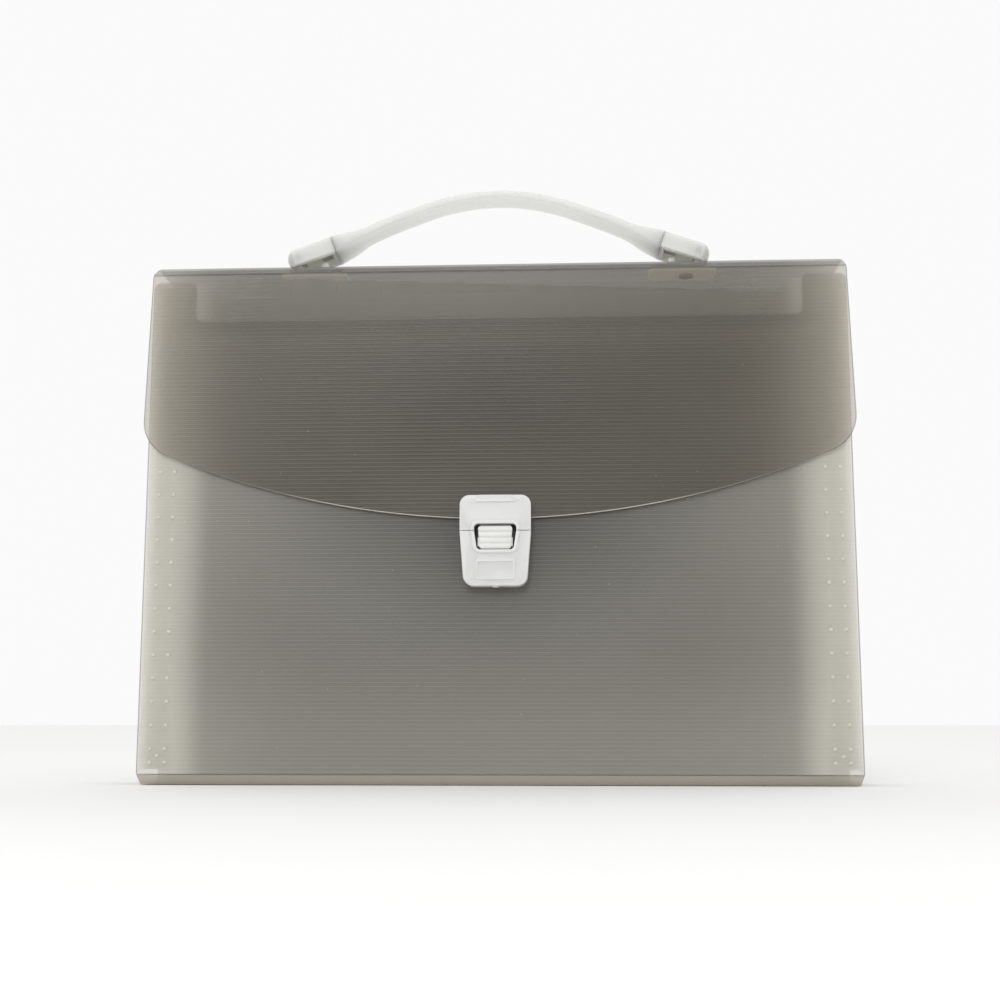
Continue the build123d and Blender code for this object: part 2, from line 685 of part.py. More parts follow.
cap &= Pos(0, 0, -CAP_HEIGHT) * extrude(cap_plan, amount=2 * CAP_HEIGHT, dir=(0, 0, 1))
inside_half = half_cap - CAP_WALL
cap -= block(
    CAP_WALL,
    CAP_LENGTH - CAP_WALL + SEAT,
    -inside_half,
    inside_half,
    -CAP_HEIGHT,
    half_height - CAP_WALL,
)
cap -= block(
    -CAP_WALL,
    2 * CAP_WALL,
    -TANG_WIDTH / 2 - SEAT,
    TANG_WIDTH / 2 + SEAT,
    -TANG_THICK / 2 - SEAT,
    TANG_THICK / 2 + SEAT,
)
pin_half = half_cap - CAP_WALL / 2
blind_half = pin_half + PIN_BLIND
cap -= rod(PIN_RADIUS + RUN_CLEARANCE, -blind_half, blind_half, PIN_REACH, 0)
cap_right = cap_frame * cap
save(cap_right, "end_cap_right")
save(mirror(cap_right, Plane.YZ), "end_cap_left")

# Pins, one on each side
pin_x = CAP_JOINT_X + PIN_REACH * cos(slope)
pin_z = joint_z - PIN_REACH * sin(slope)
pins = [rod(PIN_RADIUS, -pin_half, pin_half, side * pin_x, pin_z) for side in (-1, 1)]
save(Compound(children=pins), "cap_pins")

# Base plates with the knuckle that the cap turns on and a hook block under the cap
base_half = inside_half - SEAT
base_top = TOP + BASE_THICK
knuckle_half = KNUCKLE_THICK / 2
base = block(BASE_INNER_X, BASE_INNER_X + BASE_LENGTH, -base_half, base_half, TOP, base_top)
base = chamfer(base.edges().filter_by(Axis.Z), CAP_WALL)
base += block(pin_x - knuckle_half, pin_x + knuckle_half, -base_half, base_half, TOP, pin_z)
base += rod(knuckle_half, -base_half, base_half, pin_x, pin_z)
base -= rod(PIN_RADIUS + BORE_CLEARANCE / 2, -CAP_WIDTH, CAP_WIDTH, pin_x, pin_z)
base += block(
    HOOK_X - HOOK_LENGTH / 2,
    HOOK_X + HOOK_LENGTH / 2,
    -HOOK_WIDTH / 2,
    HOOK_WIDTH / 2,
    TOP,
    base_top + HOOK_RISE,
)
shank_hole = PLATE_RIVET_RADIUS + BORE_CLEARANCE
head_hole = PLATE_RIVET_HEAD_RADIUS + BORE_CLEARANCE
base -= Pos(PLATE_RIVET_X, 0, TOP) * Cylinder(shank_hole, 4 * BASE_THICK)
base -= Pos(PLATE_RIVET_X, 0, base_top) * Cylinder(head_hole, 2 * PLATE_RIVET_HEAD)
save(base, "base_plate_right")
save(mirror(base, Plane.YZ), "base_plate_left")

# Inner plates under the top spine
spine_inside = TOP - SHEET
plate_low = spine_inside - INNER_PLATE_THICK
plate_middle = Pos(PLATE_RIVET_X - PLATE_RIVET_RADIUS, 0, (spine_inside + plate_low) / 2)
inner_plate = plate_middle * Box(INNER_PLATE_LENGTH, 2 * inside_half, INNER_PLATE_THICK)
inner_plate = chamfer(inner_plate.edges().filter_by(Axis.Z), CAP_WALL)
inner_plate -= Pos(PLATE_RIVET_X, 0, plate_low) * Cylinder(shank_hole, 4 * INNER_PLATE_THICK)
save(inner_plate, "inner_plate_right")
save(mirror(inner_plate, Plane.YZ), "inner_plate_left")

# Rivets that clamp base plate, spine and inner plate
rivets = []
rivet_low = plate_low - PLATE_RIVET_HEAD
for side in (-1, 1):
    shank_rise = base_top - rivet_low
    rivet = Pos(0, 0, rivet_low + shank_rise / 2) * Cylinder(PLATE_RIVET_RADIUS, shank_rise)
    for head_z in (rivet_low + PLATE_RIVET_HEAD / 2, base_top - PLATE_RIVET_HEAD / 2):
        rivet += Pos(0, 0, head_z) * Cylinder(PLATE_RIVET_HEAD_RADIUS, PLATE_RIVET_HEAD)
    rivets.append(Pos(side * PLATE_RIVET_X, 0, 0) * rivet)
save(Compound(children=rivets), "plate_rivets")

# Strap: side view arched between the caps, plan view wider at the ends
end_x = CAP_JOINT_X - SEAT * cos(slope)
end_z = joint_z + SEAT * sin(slope)
lip_half = half_height + SEAT
end_high = (end_x + lip_half * sin(slope), end_z + lip_half * cos(slope))
end_low = (end_x - lip_half * sin(slope), end_z - lip_half * cos(slope))
crown = TOP + STRAP_CROWN
arch = [
    (x * end_x, crown - fall * (crown - joint_z), thick * STRAP_THICK)
    for x, fall, thick in STRAP_ARCH
]
top_half = [(0, crown)] + [(x, z) for x, z, thick in arch] + [end_high]
low_half = [(0, crown - STRAP_THICK)] + [(x, z - thick) for x, z, thick in arch] + [end_low]
top_points = [(-x, z) for x, z in top_half[:0:-1]] + top_half
low_points = [(-x, z) for x, z in low_half[:0:-1]] + low_half
strap_side = make_face(
    [
        Spline(*top_points),
        Line(top_points[-1], low_points[-1]),
        Spline(*low_points),
        Line(low_points[0], top_points[0]),
    ]
)
strap = front_view(strap_side, -half_cap, half_cap)
half_strap = STRAP_WIDTH / 2
bell_from = CAP_JOINT_X - BELL_LENGTH
strap_reach = CAP_JOINT_X + CAP_LENGTH
plan = []
for x_sign, y_sign in ((1, 1), (1, -1), (-1, -1), (-1, 1)):
    corner = [
        (x_sign * (bell_from - BELL_TAPER), y_sign * half_strap),
        (x_sign * bell_from, y_sign * half_cap),
        (x_sign * strap_reach, y_sign * half_cap),
    ]
    plan += corner if x_sign * y_sign > 0 else corner[::-1]
strap_plan = make_face(Polyline(*plan, close=True))
strap &= Pos(0, 0, TOP) * extrude(strap_plan, amount=2 * STRAP_CROWN, dir=(0, 0, 1))
tang = block(
    -CAP_WALL,
    TANG_LENGTH,
    -TANG_WIDTH / 2,
    TANG_WIDTH / 2,
    -TANG_THICK / 2,
    TANG_THICK / 2,
)
tang_right = cap_frame * tang
strap = strap + tang_right + mirror(tang_right, Plane.YZ)
save(strap, "handle_strap")

print("case height", round(TOP, 2), "handle top", round(crown, 2))
print("lid axis", BACK, round(HIGH_CREASE + lid_rise, 4), "front axis", FRONT_CREASE)
print("flap axis", FLAP_OUTSIDE, round(HIGH_CREASE + flap_rise, 4))
print("pin", round(pin_x, 3), round(pin_z, 3), "pleat", round(PLEAT, 4))
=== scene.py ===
"""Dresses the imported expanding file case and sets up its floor, light and camera.

Sizes are in millimetres in the classes below and turned to metres by MM. X is the width of the
case, Y its depth with the front at -Y, and Z is up.
"""

import logging
import math
from collections.abc import Sequence
from dataclasses import dataclass
from enum import Enum

import bmesh
import bpy
from bmesh.types import BMEdge, BMesh, BMFace, BMVert
from bpy.types import Material, Node, NodeOutputs, NodeSocket, NodeTree, World
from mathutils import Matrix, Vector


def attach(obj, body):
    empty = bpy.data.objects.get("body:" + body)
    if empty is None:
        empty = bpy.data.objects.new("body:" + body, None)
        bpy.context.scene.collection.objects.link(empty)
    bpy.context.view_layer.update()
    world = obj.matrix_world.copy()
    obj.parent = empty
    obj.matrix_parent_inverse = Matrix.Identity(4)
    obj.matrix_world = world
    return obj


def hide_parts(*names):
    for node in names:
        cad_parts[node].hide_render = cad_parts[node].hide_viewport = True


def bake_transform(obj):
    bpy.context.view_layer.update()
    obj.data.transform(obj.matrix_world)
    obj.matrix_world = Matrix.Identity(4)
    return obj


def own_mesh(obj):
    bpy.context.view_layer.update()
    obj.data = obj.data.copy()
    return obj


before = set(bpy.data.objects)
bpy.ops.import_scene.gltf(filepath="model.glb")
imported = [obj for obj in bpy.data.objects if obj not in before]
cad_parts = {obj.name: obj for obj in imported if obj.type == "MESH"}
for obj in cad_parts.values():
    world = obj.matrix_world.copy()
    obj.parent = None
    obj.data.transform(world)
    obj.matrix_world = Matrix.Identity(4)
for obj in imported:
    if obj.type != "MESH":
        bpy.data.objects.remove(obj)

MM = 0.001
POLYPROPYLENE_IOR = 1.49
MILKY = (1.0, 0.97, 0.9)  # how far red, green and blue soak into white plastic, as shares
LOG = logging.getLogger("file_case")
MERGE_REACH = 0.001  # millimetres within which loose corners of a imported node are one
FLAT_ANGLE = 1.0  # degrees under which two of its triangles are one face


def linear(hex_colour: str) -> tuple[float, float, float, float]:
    """Turn an sRGB colour into the linear one that the shaders take.

    Args:
        hex_colour: Colour as "#rrggbb".

    Returns:
        Linear red, green, blue and an alpha of 1.
    """
    channels = [int(hex_colour[i : i + 2], 16) / 255 for i in (1, 3, 5)]
    flat = [c / 12.92 if c <= 0.04045 else ((c + 0.055) / 1.055) ** 2.4 for c in channels]
    return (flat[0], flat[1], flat[2], 1.0)


def smooth_step(t: float) -> float:
    """Ease from 0 to 1 with level ends.

    Args:
        t: Share of the way.

    Returns:
        The eased share.
    """
    t = min(max(t, 0.0), 1.0)
    return t * t * (3 - 2 * t)


def add_node(
    tree: NodeTree, kind: str, inputs: dict | None = None, **settings: object
) -> Node:
    """Add a node with its settings, and fill or link its inputs.

    Args:
        tree: Node tree of the material or world.
        kind: Blender's name of the node type.
        inputs: Value, or socket to link from, by name or number of the input.
        **settings: Properties of the node itself.

    Returns:
        The new node.
    """
    node = tree.nodes.new(kind)
    for name, value in settings.items():
        setattr(node, name, value)
    for name, value in (inputs or {}).items():
        if isinstance(value, NodeSocket):
            tree.links.new(value, node.inputs[name])
        else:
            node.inputs[name].default_value = value
    return node


class Run(Enum):
    """Way in which the ribs of a sheet follow each other."""

    UP = "up"
    LEVEL = "level"
    FOLDED = "folded"


@dataclass(frozen=True)
class Finish:
    """What all finishes share: a name, an output and a Principled shader."""

    name: str

    def start(self) -> tuple[Material, NodeTree, NodeSocket]:
        """Make the empty material.

        Returns:
            The material, its node tree and the Object coordinates.
        """
        material = bpy.data.materials.new(self.name)
        material.use_nodes = True
        tree = material.node_tree
        tree.nodes.clear()
        place = add_node(tree, "ShaderNodeTexCoord").outputs["Object"]
        return material, tree, place

    def solid_share(self, tree: NodeTree, see_through: float | NodeSocket) -> NodeSocket:
        """Let a share of the light straight through a sheet, counted once for its two faces.

        Args:
            tree: Node tree of the material.
            see_through: Share of the light that goes straight through.

        Returns:
            What is left on the outer faces, and 0 where a ray leaves the sheet again.
        """
        inner = add_node(tree, "ShaderNodeNewGeometry").outputs["Backfacing"]
        outer = add_node(tree, "ShaderNodeMath", {0: 1.0, 1: inner}, operation="SUBTRACT")
        solid = add_node(tree, "ShaderNodeMath", {0: 1.0, 1: see_through}, operation="SUBTRACT")
        share = {0: outer.outputs[0], 1: solid.outputs[0]}
        return add_node(tree, "ShaderNodeMath", share, operation="MULTIPLY").outputs[0]

    def ramp(
        self,
        tree: NodeTree,
        value: NodeSocket,
        start: float,
        end: float,
        size: float = 1.0,
    ) -> NodeSocket:
        """Ease from 0 at the start to a size at the end, both in millimetres.

        Args:
            tree: Node tree of the material.
            value: Coordinate that is read, in metres.
            start: Where the ramp starts.
            end: Where it ends.
            size: Value at its end.

        Returns:
            The eased value.
        """
        inputs = {"Value": value, "From Min": start * MM, "From Max": end * MM, "To Max": size}
        node = add_node(tree, "ShaderNodeMapRange", inputs, interpolation_type="SMOOTHSTEP")
        return node.outputs[0]

    def from_middle(self, tree: NodeTree, axes: NodeOutputs) -> NodeSocket:
        """Measure how far to either side of the case a place is, in metres."""
        return add_node(tree, "ShaderNodeMath", {0: axes["X"]}, operation="ABSOLUTE").outputs[0]

    def skin(
        self,
        tree: NodeTree,
        pattern: NodeSocket,
        tones: tuple[str, str],
        gloss: tuple[float, float],
        grain: NodeSocket,
        relief: tuple[float, float],
    ) -> dict:
        """Give a skin its uneven tone and gloss and its grain.

        Args:
            tree: Node tree of the material.
            pattern: Pattern that the tone and the gloss follow.
            tones: Colours at the low and the high end of the pattern.
            gloss: Roughness at both ends.
            grain: Height of the grain.
            relief: Strength of the grain, and its depth in millimetres.

        Returns:
            Inputs of the shader.
        """
        colour = {0: pattern, 6: linear(tones[0]), 7: linear(tones[1])}
        roughness = {"Value": pattern, "To Min": gloss[0], "To Max": gloss[1]}
        bump = {"Height": grain, "Strength": relief[0], "Distance": relief[1] * MM}
        return {
            "Base Color": add_node(tree, "ShaderNodeMix", colour, data_type="RGBA").outputs[2],
            "Roughness": add_node(tree, "ShaderNodeMapRange", roughness).outputs[0],
            "Normal": add_node(tree, "ShaderNodeBump", bump).outputs[0],
        }

    def soaked(self, weight: float, depth: float) -> dict:
        """Let light soak into the plastic.

        Args:
            weight: Share of the light that does.
            depth: How deep it gets, in millimetres.

        Returns:
            Inputs of the shader.
        """
        return {
            "Subsurface Weight": weight,
            "Subsurface Radius": MILKY,
            "Subsurface Scale": depth * MM,
        }

    def end(self, tree: NodeTree, inputs: dict) -> None:
        """Add the Principled shader and the output.

        Args:
            tree: Node tree of the material.
            inputs: Inputs of the shader.
        """
        shader = add_node(tree, "ShaderNodeBsdfPrincipled", inputs)
        add_node(tree, "ShaderNodeOutputMaterial", {"Surface": shader.outputs[0]})

    def build(self) -> Material:
        """Build the material.

        Returns:
            The finished material.
        """
        raise NotImplementedError


@dataclass(frozen=True)
class RibbedSheet(Finish):
    """Extruded polypropylene sheet with fine ribs, smoke grey and see-through.

    The eye gets fine level lines, a satin gloss and a few specks of dust, and painted light and
    shade: a tone that is deep in the middle of the case and pale at its sides, where light comes
    in through the pleats.
    """

    # Tones of the sheet, deep in painted shade and pale in painted light, of the painted glow of
    # its cut edges and of the painted shade of its rim
    deep: str = "#86857c"
    pale: str = "#dfd9cd"
    cut: str = "#b3ada1"
    painted_rim_shade: str = "#66635a"
    half_width: float = 165.0
    rim: float = 0.5
    cut_turn: float = 0.6
    # Share of the light that goes straight through, and how much more at the sides and the top
    see_through: float = 0.2
    clearer: float = 0.12
    clear_sides: tuple[float, float] = (140.0, 156.0)
    clear_top: tuple[float, float] = (206.0, 218.0)
    # Ribs: their way, pitch and depth, how far they shift the tone, and their waves
    run: Run = Run.UP
    rib_pitch: float = 1.92
    rib_depth: float = 0.035
    rib_strength: float = 0.6
    rib_tone: float = 0.019
    rib_waves: tuple[tuple[int, float], ...] = ((1, 0.55), (2, 0.45))
    # Painted light: paler to the sides, by a gentle rise and a step
    fade: float = 0.45
    fade_power: float = 6.0
    step: float = 0.55
    step_from: float = 132.0
    step_to: float = 156.0
    # Painted light towards the foot, and painted tone near the top: light where above 0, shade
    # where below 0
    painted_foot_light: float = 0.22
    low_from: float = 70.0
    painted_top_tone: float = 0.0
    high_from: float = 196.0
    high_to: float = 236.0
    # Painted shade, deeper round one place
    painted_shade: float = 0.08
    painted_shade_height: float = 178.0
    painted_shade_reach: tuple[float, float] = (120.0, 62.0)
    # Uneven density of the tint 60 mm across, a speck of dust in each 9 mm, and haze and scuffs
    # drawn at 1 mm so that they show, with their scales per metre
    cloud_scale: float = 16.0
    cloud_tone: float = 0.012
    dust_scale: float = 110.0
    dust_edge: tuple[float, float] = (0.04, 0.015)
    dust_tone: float = 0.15
    haze_scale: float = 1000.0
    haze_gloss: tuple[float, float] = (0.27, 0.42)

    def total(self, tree: NodeTree, *terms: NodeSocket) -> NodeSocket:
        """Add terms.

        Args:
            tree: Node tree of the material.
            *terms: Terms of the sum.

        Returns:
            The sum.
        """
        whole = terms[0]
        for term in terms[1:]:
            both = {0: whole, 1: term}
            whole = add_node(tree, "ShaderNodeMath", both, operation="ADD").outputs[0]
        return whole

    def ribs(self, tree: NodeTree, axes: NodeOutputs) -> NodeSocket:
        """Draw the ribs as waves, one at the pitch and one at half the pitch.

        Args:
            tree: Node tree of the material.
            axes: Coordinates X, Y and Z.

        Returns:
            Height of the ribs, about -1 to 1.
        """
        along = {Run.UP: axes["Z"], Run.LEVEL: axes["Y"]}.get(self.run)
        if along is None:
            along = self.total(tree, axes["Y"], axes["Z"])
        waves = []
        for count, size in self.rib_waves:
            turns = {0: along, 1: count * 2 * math.pi / (self.rib_pitch * MM)}
            angle = add_node(tree, "ShaderNodeMath", turns, operation="MULTIPLY").outputs[0]
            wave = add_node(tree, "ShaderNodeMath", {0: angle}, operation="COSINE").outputs[0]
            sized = add_node(tree, "ShaderNodeMath", {0: wave, 1: size}, operation="MULTIPLY")
            waves.append(sized.outputs[0])
        return self.total(tree, *waves)

    def painted_light_tone(self, tree: NodeTree, axes: NodeOutputs) -> NodeSocket:
        """Work out the painted light and shade of the sheet from its place on the case.

        Args:
            tree: Node tree of the material.
            axes: Coordinates X, Y and Z.

        Returns:
            About 0 in the painted shade of the middle and 1 in the painted light at the sides.
        """
        side = self.from_middle(tree, axes)
        share = {0: side, 1: 1 / (self.half_width * MM)}
        share = add_node(tree, "ShaderNodeMath", share, operation="MULTIPLY").outputs[0]
        bend = {0: share, 1: self.fade_power}
        bend = add_node(tree, "ShaderNodeMath", bend, operation="POWER").outputs[0]
        fade = {0: bend, 1: self.fade}
        terms = [
            add_node(tree, "ShaderNodeMath", fade, operation="MULTIPLY").outputs[0],
            self.ramp(tree, side, self.step_from, self.step_to, self.step),
            self.ramp(tree, axes["Z"], self.low_from, 0.0, self.painted_foot_light),
            self.ramp(tree, axes["Z"], self.high_from, self.high_to, self.painted_top_tone),
        ]
        # Painted shade: the case is darkest round one place, where no light gets in
        wide, high = (reach * MM for reach in self.painted_shade_reach)
        spot = {"X": axes["X"], "Z": axes["Z"]}
        spot = add_node(tree, "ShaderNodeCombineXYZ", spot).outputs[0]
        shift = (0, 0, -self.painted_shade_height * MM / high)
        spot = {"Vector": spot, "Location": shift, "Scale": (1 / wide, 1, 1 / high)}
        spot = add_node(tree, "ShaderNodeMapping", spot).outputs[0]
        away = add_node(tree, "ShaderNodeVectorMath", {0: spot}, operation="LENGTH")
        terms.append(self.ramp(tree, away.outputs["Value"], 0.0, 1 / MM, self.painted_shade))
        return self.total(tree, *terms)

    def detail(self, tree: NodeTree, place: NodeSocket, ribs: NodeSocket) -> NodeSocket:
        """Work out the shift in tone that ribs, uneven tint and dust give.

        Args:
            tree: Node tree of the material.
            place: Object coordinates.
            ribs: Height of the ribs.

        Returns:
            A linear shift near 0.
        """
        lines = {0: ribs, 1: self.rib_tone}
        lines = add_node(tree, "ShaderNodeMath", lines, operation="MULTIPLY").outputs[0]
        cloud = {"Vector": place, "Scale": self.cloud_scale, "Detail": 2.0}
        cloud = add_node(tree, "ShaderNodeTexNoise", cloud).outputs[0]
        cloud = {"Value": cloud, "To Min": -self.cloud_tone, "To Max": self.cloud_tone}
        cloud = add_node(tree, "ShaderNodeMapRange", cloud).outputs[0]
        cells = {"Vector": place, "Scale": self.dust_scale}
        cells = add_node(tree, "ShaderNodeTexVoronoi", cells).outputs["Distance"]
        start, end = self.dust_edge
        dust = {"Value": cells, "From Min": start, "From Max": end, "To Max": self.dust_tone}
        dust = add_node(tree, "ShaderNodeMapRange", dust).outputs[0]
        return self.total(tree, lines, cloud, dust)

    def past(self, tree: NodeTree, value: NodeSocket, limit: float) -> NodeSocket:
        """Test whether a coordinate is past a limit.

        Args:
            tree: Node tree of the material.
            value: Coordinate in metres.
            limit: Limit in millimetres.

        Returns:
            1 past the limit and 0 before it.
        """
        test = {0: value, 1: limit * MM}
        return add_node(tree, "ShaderNodeMath", test, operation="GREATER_THAN").outputs[0]

    def rim_line(self, tree: NodeTree, axes: NodeOutputs) -> NodeSocket:
        """Find the narrow rim at both ends of the sheet, which painted shade darkens.

        Args:
            tree: Node tree of the material.
            axes: Coordinates X, Y and Z.

        Returns:
            1 on the rim and 0 elsewhere.
        """
        side = self.from_middle(tree, axes)
        return self.past(tree, side, self.half_width - self.rim)

    def paint_edge_light_and_shade(self, tree: NodeTree, axes: NodeOutputs, sheet: NodeSocket) -> NodeSocket:
        """Paint the shade of the rim on the sheet.

        Args:
            tree: Node tree of the material.
            axes: Coordinates X, Y and Z.
            sheet: Colour of the sheet.

        Returns:
            The colour with the painted shade of its rim.
        """
        rim = {0: self.rim_line(tree, axes), 6: sheet, 7: linear(self.painted_rim_shade)}
        return add_node(tree, "ShaderNodeMix", rim, data_type="RGBA").outputs[2]

    def clear_share(self, tree: NodeTree, axes: NodeOutputs) -> NodeSocket:
        """Work out how much goes straight through, more near the top and the sides.

        Args:
            tree: Node tree of the material.
            axes: Coordinates X, Y and Z.

        Returns:
            Share of the light.
        """
        side = self.from_middle(tree, axes)
        across = self.ramp(tree, side, *self.clear_sides)
        upwards = self.ramp(tree, axes["Z"], *self.clear_top)
        more = add_node(tree, "ShaderNodeMath", {0: across, 1: upwards}, operation="MAXIMUM")
        more = {0: more.outputs[0], 1: self.clearer, 2: self.see_through}
        return add_node(tree, "ShaderNodeMath", more, operation="MULTIPLY_ADD").outputs[0]

    def cut_edge(self, tree: NodeTree) -> NodeSocket:
        """Find the cut edges of the sheet, which get a painted glow, by the way their faces look.

        Args:
            tree: Node tree of the material.

        Returns:
            1 on a cut edge and 0 on the broad faces.
        """
        facing = add_node(tree, "ShaderNodeNewGeometry").outputs["True Normal"]
        way = {"vector_type": "NORMAL", "convert_from": "WORLD", "convert_to": "OBJECT"}
        facing = add_node(tree, "ShaderNodeVectorTransform", {"Vector": facing}, **way)
        axes = add_node(tree, "ShaderNodeSeparateXYZ", {0: facing.outputs[0]}).outputs
        axis, rule = ("Y", "LESS_THAN") if self.run is Run.UP else ("X", "GREATER_THAN")
        turned = add_node(tree, "ShaderNodeMath", {0: axes[axis]}, operation="ABSOLUTE")
        turned = {0: turned.outputs[0], 1: self.cut_turn}
        return add_node(tree, "ShaderNodeMath", turned, operation=rule).outputs[0]

    def build(self) -> Material:
        """Build the sheet with its ribs, tone and haze.

        Returns:
            The material of the sheet.
        """
        material, tree, place = self.start()
        axes = add_node(tree, "ShaderNodeSeparateXYZ", {0: place}).outputs
        ribs = self.ribs(tree, axes)
        tone = {0: self.painted_light_tone(tree, axes), 6: linear(self.deep), 7: linear(self.pale)}
        sheet = add_node(tree, "ShaderNodeMix", tone, data_type="RGBA").outputs[2]
        shift = {0: sheet, 1: self.detail(tree, place, ribs)}
        sheet = add_node(tree, "ShaderNodeVectorMath", shift, operation="ADD").outputs[0]
        sheet = self.paint_edge_light_and_shade(tree, axes, sheet)
        # Painted light: the cut edges are toned pale, as if light ran along inside the sheet and
        # out at them
        glow = {0: self.cut_edge(tree), 6: sheet, 7: linear(self.cut)}
        colour = add_node(tree, "ShaderNodeMix", glow, data_type="RGBA").outputs[2]
        haze = {"Vector": place, "Scale": self.haze_scale, "Detail": 3.0}
        haze = add_node(tree, "ShaderNodeTexNoise", haze).outputs[0]
        smooth, rough = self.haze_gloss
        haze = {"Value": haze, "To Min": smooth, "To Max": rough}
        roughness = add_node(tree, "ShaderNodeMapRange", haze).outputs[0]
        relief = {"Height": ribs, "Strength": self.rib_strength}
        relief["Distance"] = self.rib_depth * MM
        bump = add_node(tree, "ShaderNodeBump", relief).outputs[0]
        self.end(
            tree,
            {
                "Base Color": colour,
                "Roughness": roughness,
                "IOR": POLYPROPYLENE_IOR,
                "Alpha": self.solid_share(tree, self.clear_share(tree, axes)),
                "Normal": bump,
            },
        )
        return material


@dataclass(frozen=True)
class FlapSheet(RibbedSheet):
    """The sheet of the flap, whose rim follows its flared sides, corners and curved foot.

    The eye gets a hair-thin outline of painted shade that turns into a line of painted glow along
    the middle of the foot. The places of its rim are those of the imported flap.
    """

    flare: float = 2.3
    flare_from: float = 240.4
    flare_to: float = 156.3
    foot_radius: float = 405.0
    foot_centre: float = 526.2
    foot_rim: float = 0.42
    corner_radius: float = 18.0
    corner_centre: tuple[float, float] = (148.94, 169.0)
    corner_from: float = 155.9
    # Painted glow along the middle of the foot, which gives way to the painted shade of the rim
    # towards the sides
    painted_foot_glow: str = "#b4afa3"
    bright_to: tuple[float, float] = (70.0, 110.0)

    def distance(
        self,
        tree: NodeTree,
        across: NodeSocket,
        upwards: NodeSocket,
        centre: tuple[float, float],
    ) -> NodeSocket:
        """Measure how far a place is from a centre, seen from the front.

        Args:
            tree: Node tree of the material.
            across: Coordinate across the sheet.
            upwards: Coordinate up the sheet.
            centre: The centre in millimetres.

        Returns:
            The distance in metres.
        """
        place = add_node(tree, "ShaderNodeCombineXYZ", {"X": across, "Y": upwards}).outputs[0]
        middle = (centre[0] * MM, centre[1] * MM, 0)
        away = add_node(tree, "ShaderNodeVectorMath", {0: place, 1: middle}, operation="DISTANCE")
        return away.outputs["Value"]

    def rim_line(self, tree: NodeTree, axes: NodeOutputs) -> NodeSocket:
        """Find the rim along the flared sides and the rounded corners.

        Args:
            tree: Node tree of the material.
            axes: Coordinates X, Y and Z.

        Returns:
            1 on the rim and 0 elsewhere.
        """
        side = self.from_middle(tree, axes)
        widening = {
            "Value": axes["Z"],
            "From Min": self.flare_from * MM,
            "From Max": self.flare_to * MM,
            "To Max": self.flare * MM,
        }
        widening = add_node(tree, "ShaderNodeMapRange", widening).outputs[0]
        level = add_node(tree, "ShaderNodeMath", {0: side, 1: widening}, operation="SUBTRACT")
        straight = self.past(tree, level.outputs[0], self.half_width - self.rim)
        turn = self.distance(tree, side, axes["Z"], self.corner_centre)
        turn = self.past(tree, turn, self.corner_radius - self.rim)
        outer = self.past(tree, side, self.corner_from)
        height = add_node(tree, "ShaderNodeMath", {0: 0.0, 1: axes["Z"]}, operation="SUBTRACT")
        low = self.past(tree, height.outputs[0], -self.corner_centre[1])
        corner = add_node(tree, "ShaderNodeMath", {0: turn, 1: outer}, operation="MULTIPLY")
        corner = {0: corner.outputs[0], 1: low}
        corner = add_node(tree, "ShaderNodeMath", corner, operation="MULTIPLY").outputs[0]
        both = {0: straight, 1: corner}
        return add_node(tree, "ShaderNodeMath", both, operation="MAXIMUM").outputs[0]

    def paint_edge_light_and_shade(self, tree: NodeTree, axes: NodeOutputs, sheet: NodeSocket) -> NodeSocket:
        """Paint the shade of the rim and the glowing line along the foot.

        Args:
            tree: Node tree of the material.
            axes: Coordinates X, Y and Z.
            sheet: Colour of the sheet.

        Returns:
            The colour with its painted shade and painted glow.
        """
        sheet = super().paint_edge_light_and_shade(tree, axes, sheet)
        side = self.from_middle(tree, axes)
        foot = self.distance(tree, axes["X"], axes["Z"], (0.0, self.foot_centre))
        foot = self.past(tree, foot, self.foot_radius - self.foot_rim)
        dim = self.ramp(tree, side, *self.bright_to)
        tone = {0: dim, 6: linear(self.painted_foot_glow), 7: linear(self.painted_rim_shade)}
        tone = add_node(tree, "ShaderNodeMix", tone, data_type="RGBA").outputs[2]
        foot = {0: foot, 6: sheet, 7: tone}
        return add_node(tree, "ShaderNodeMix", foot, data_type="RGBA").outputs[2]


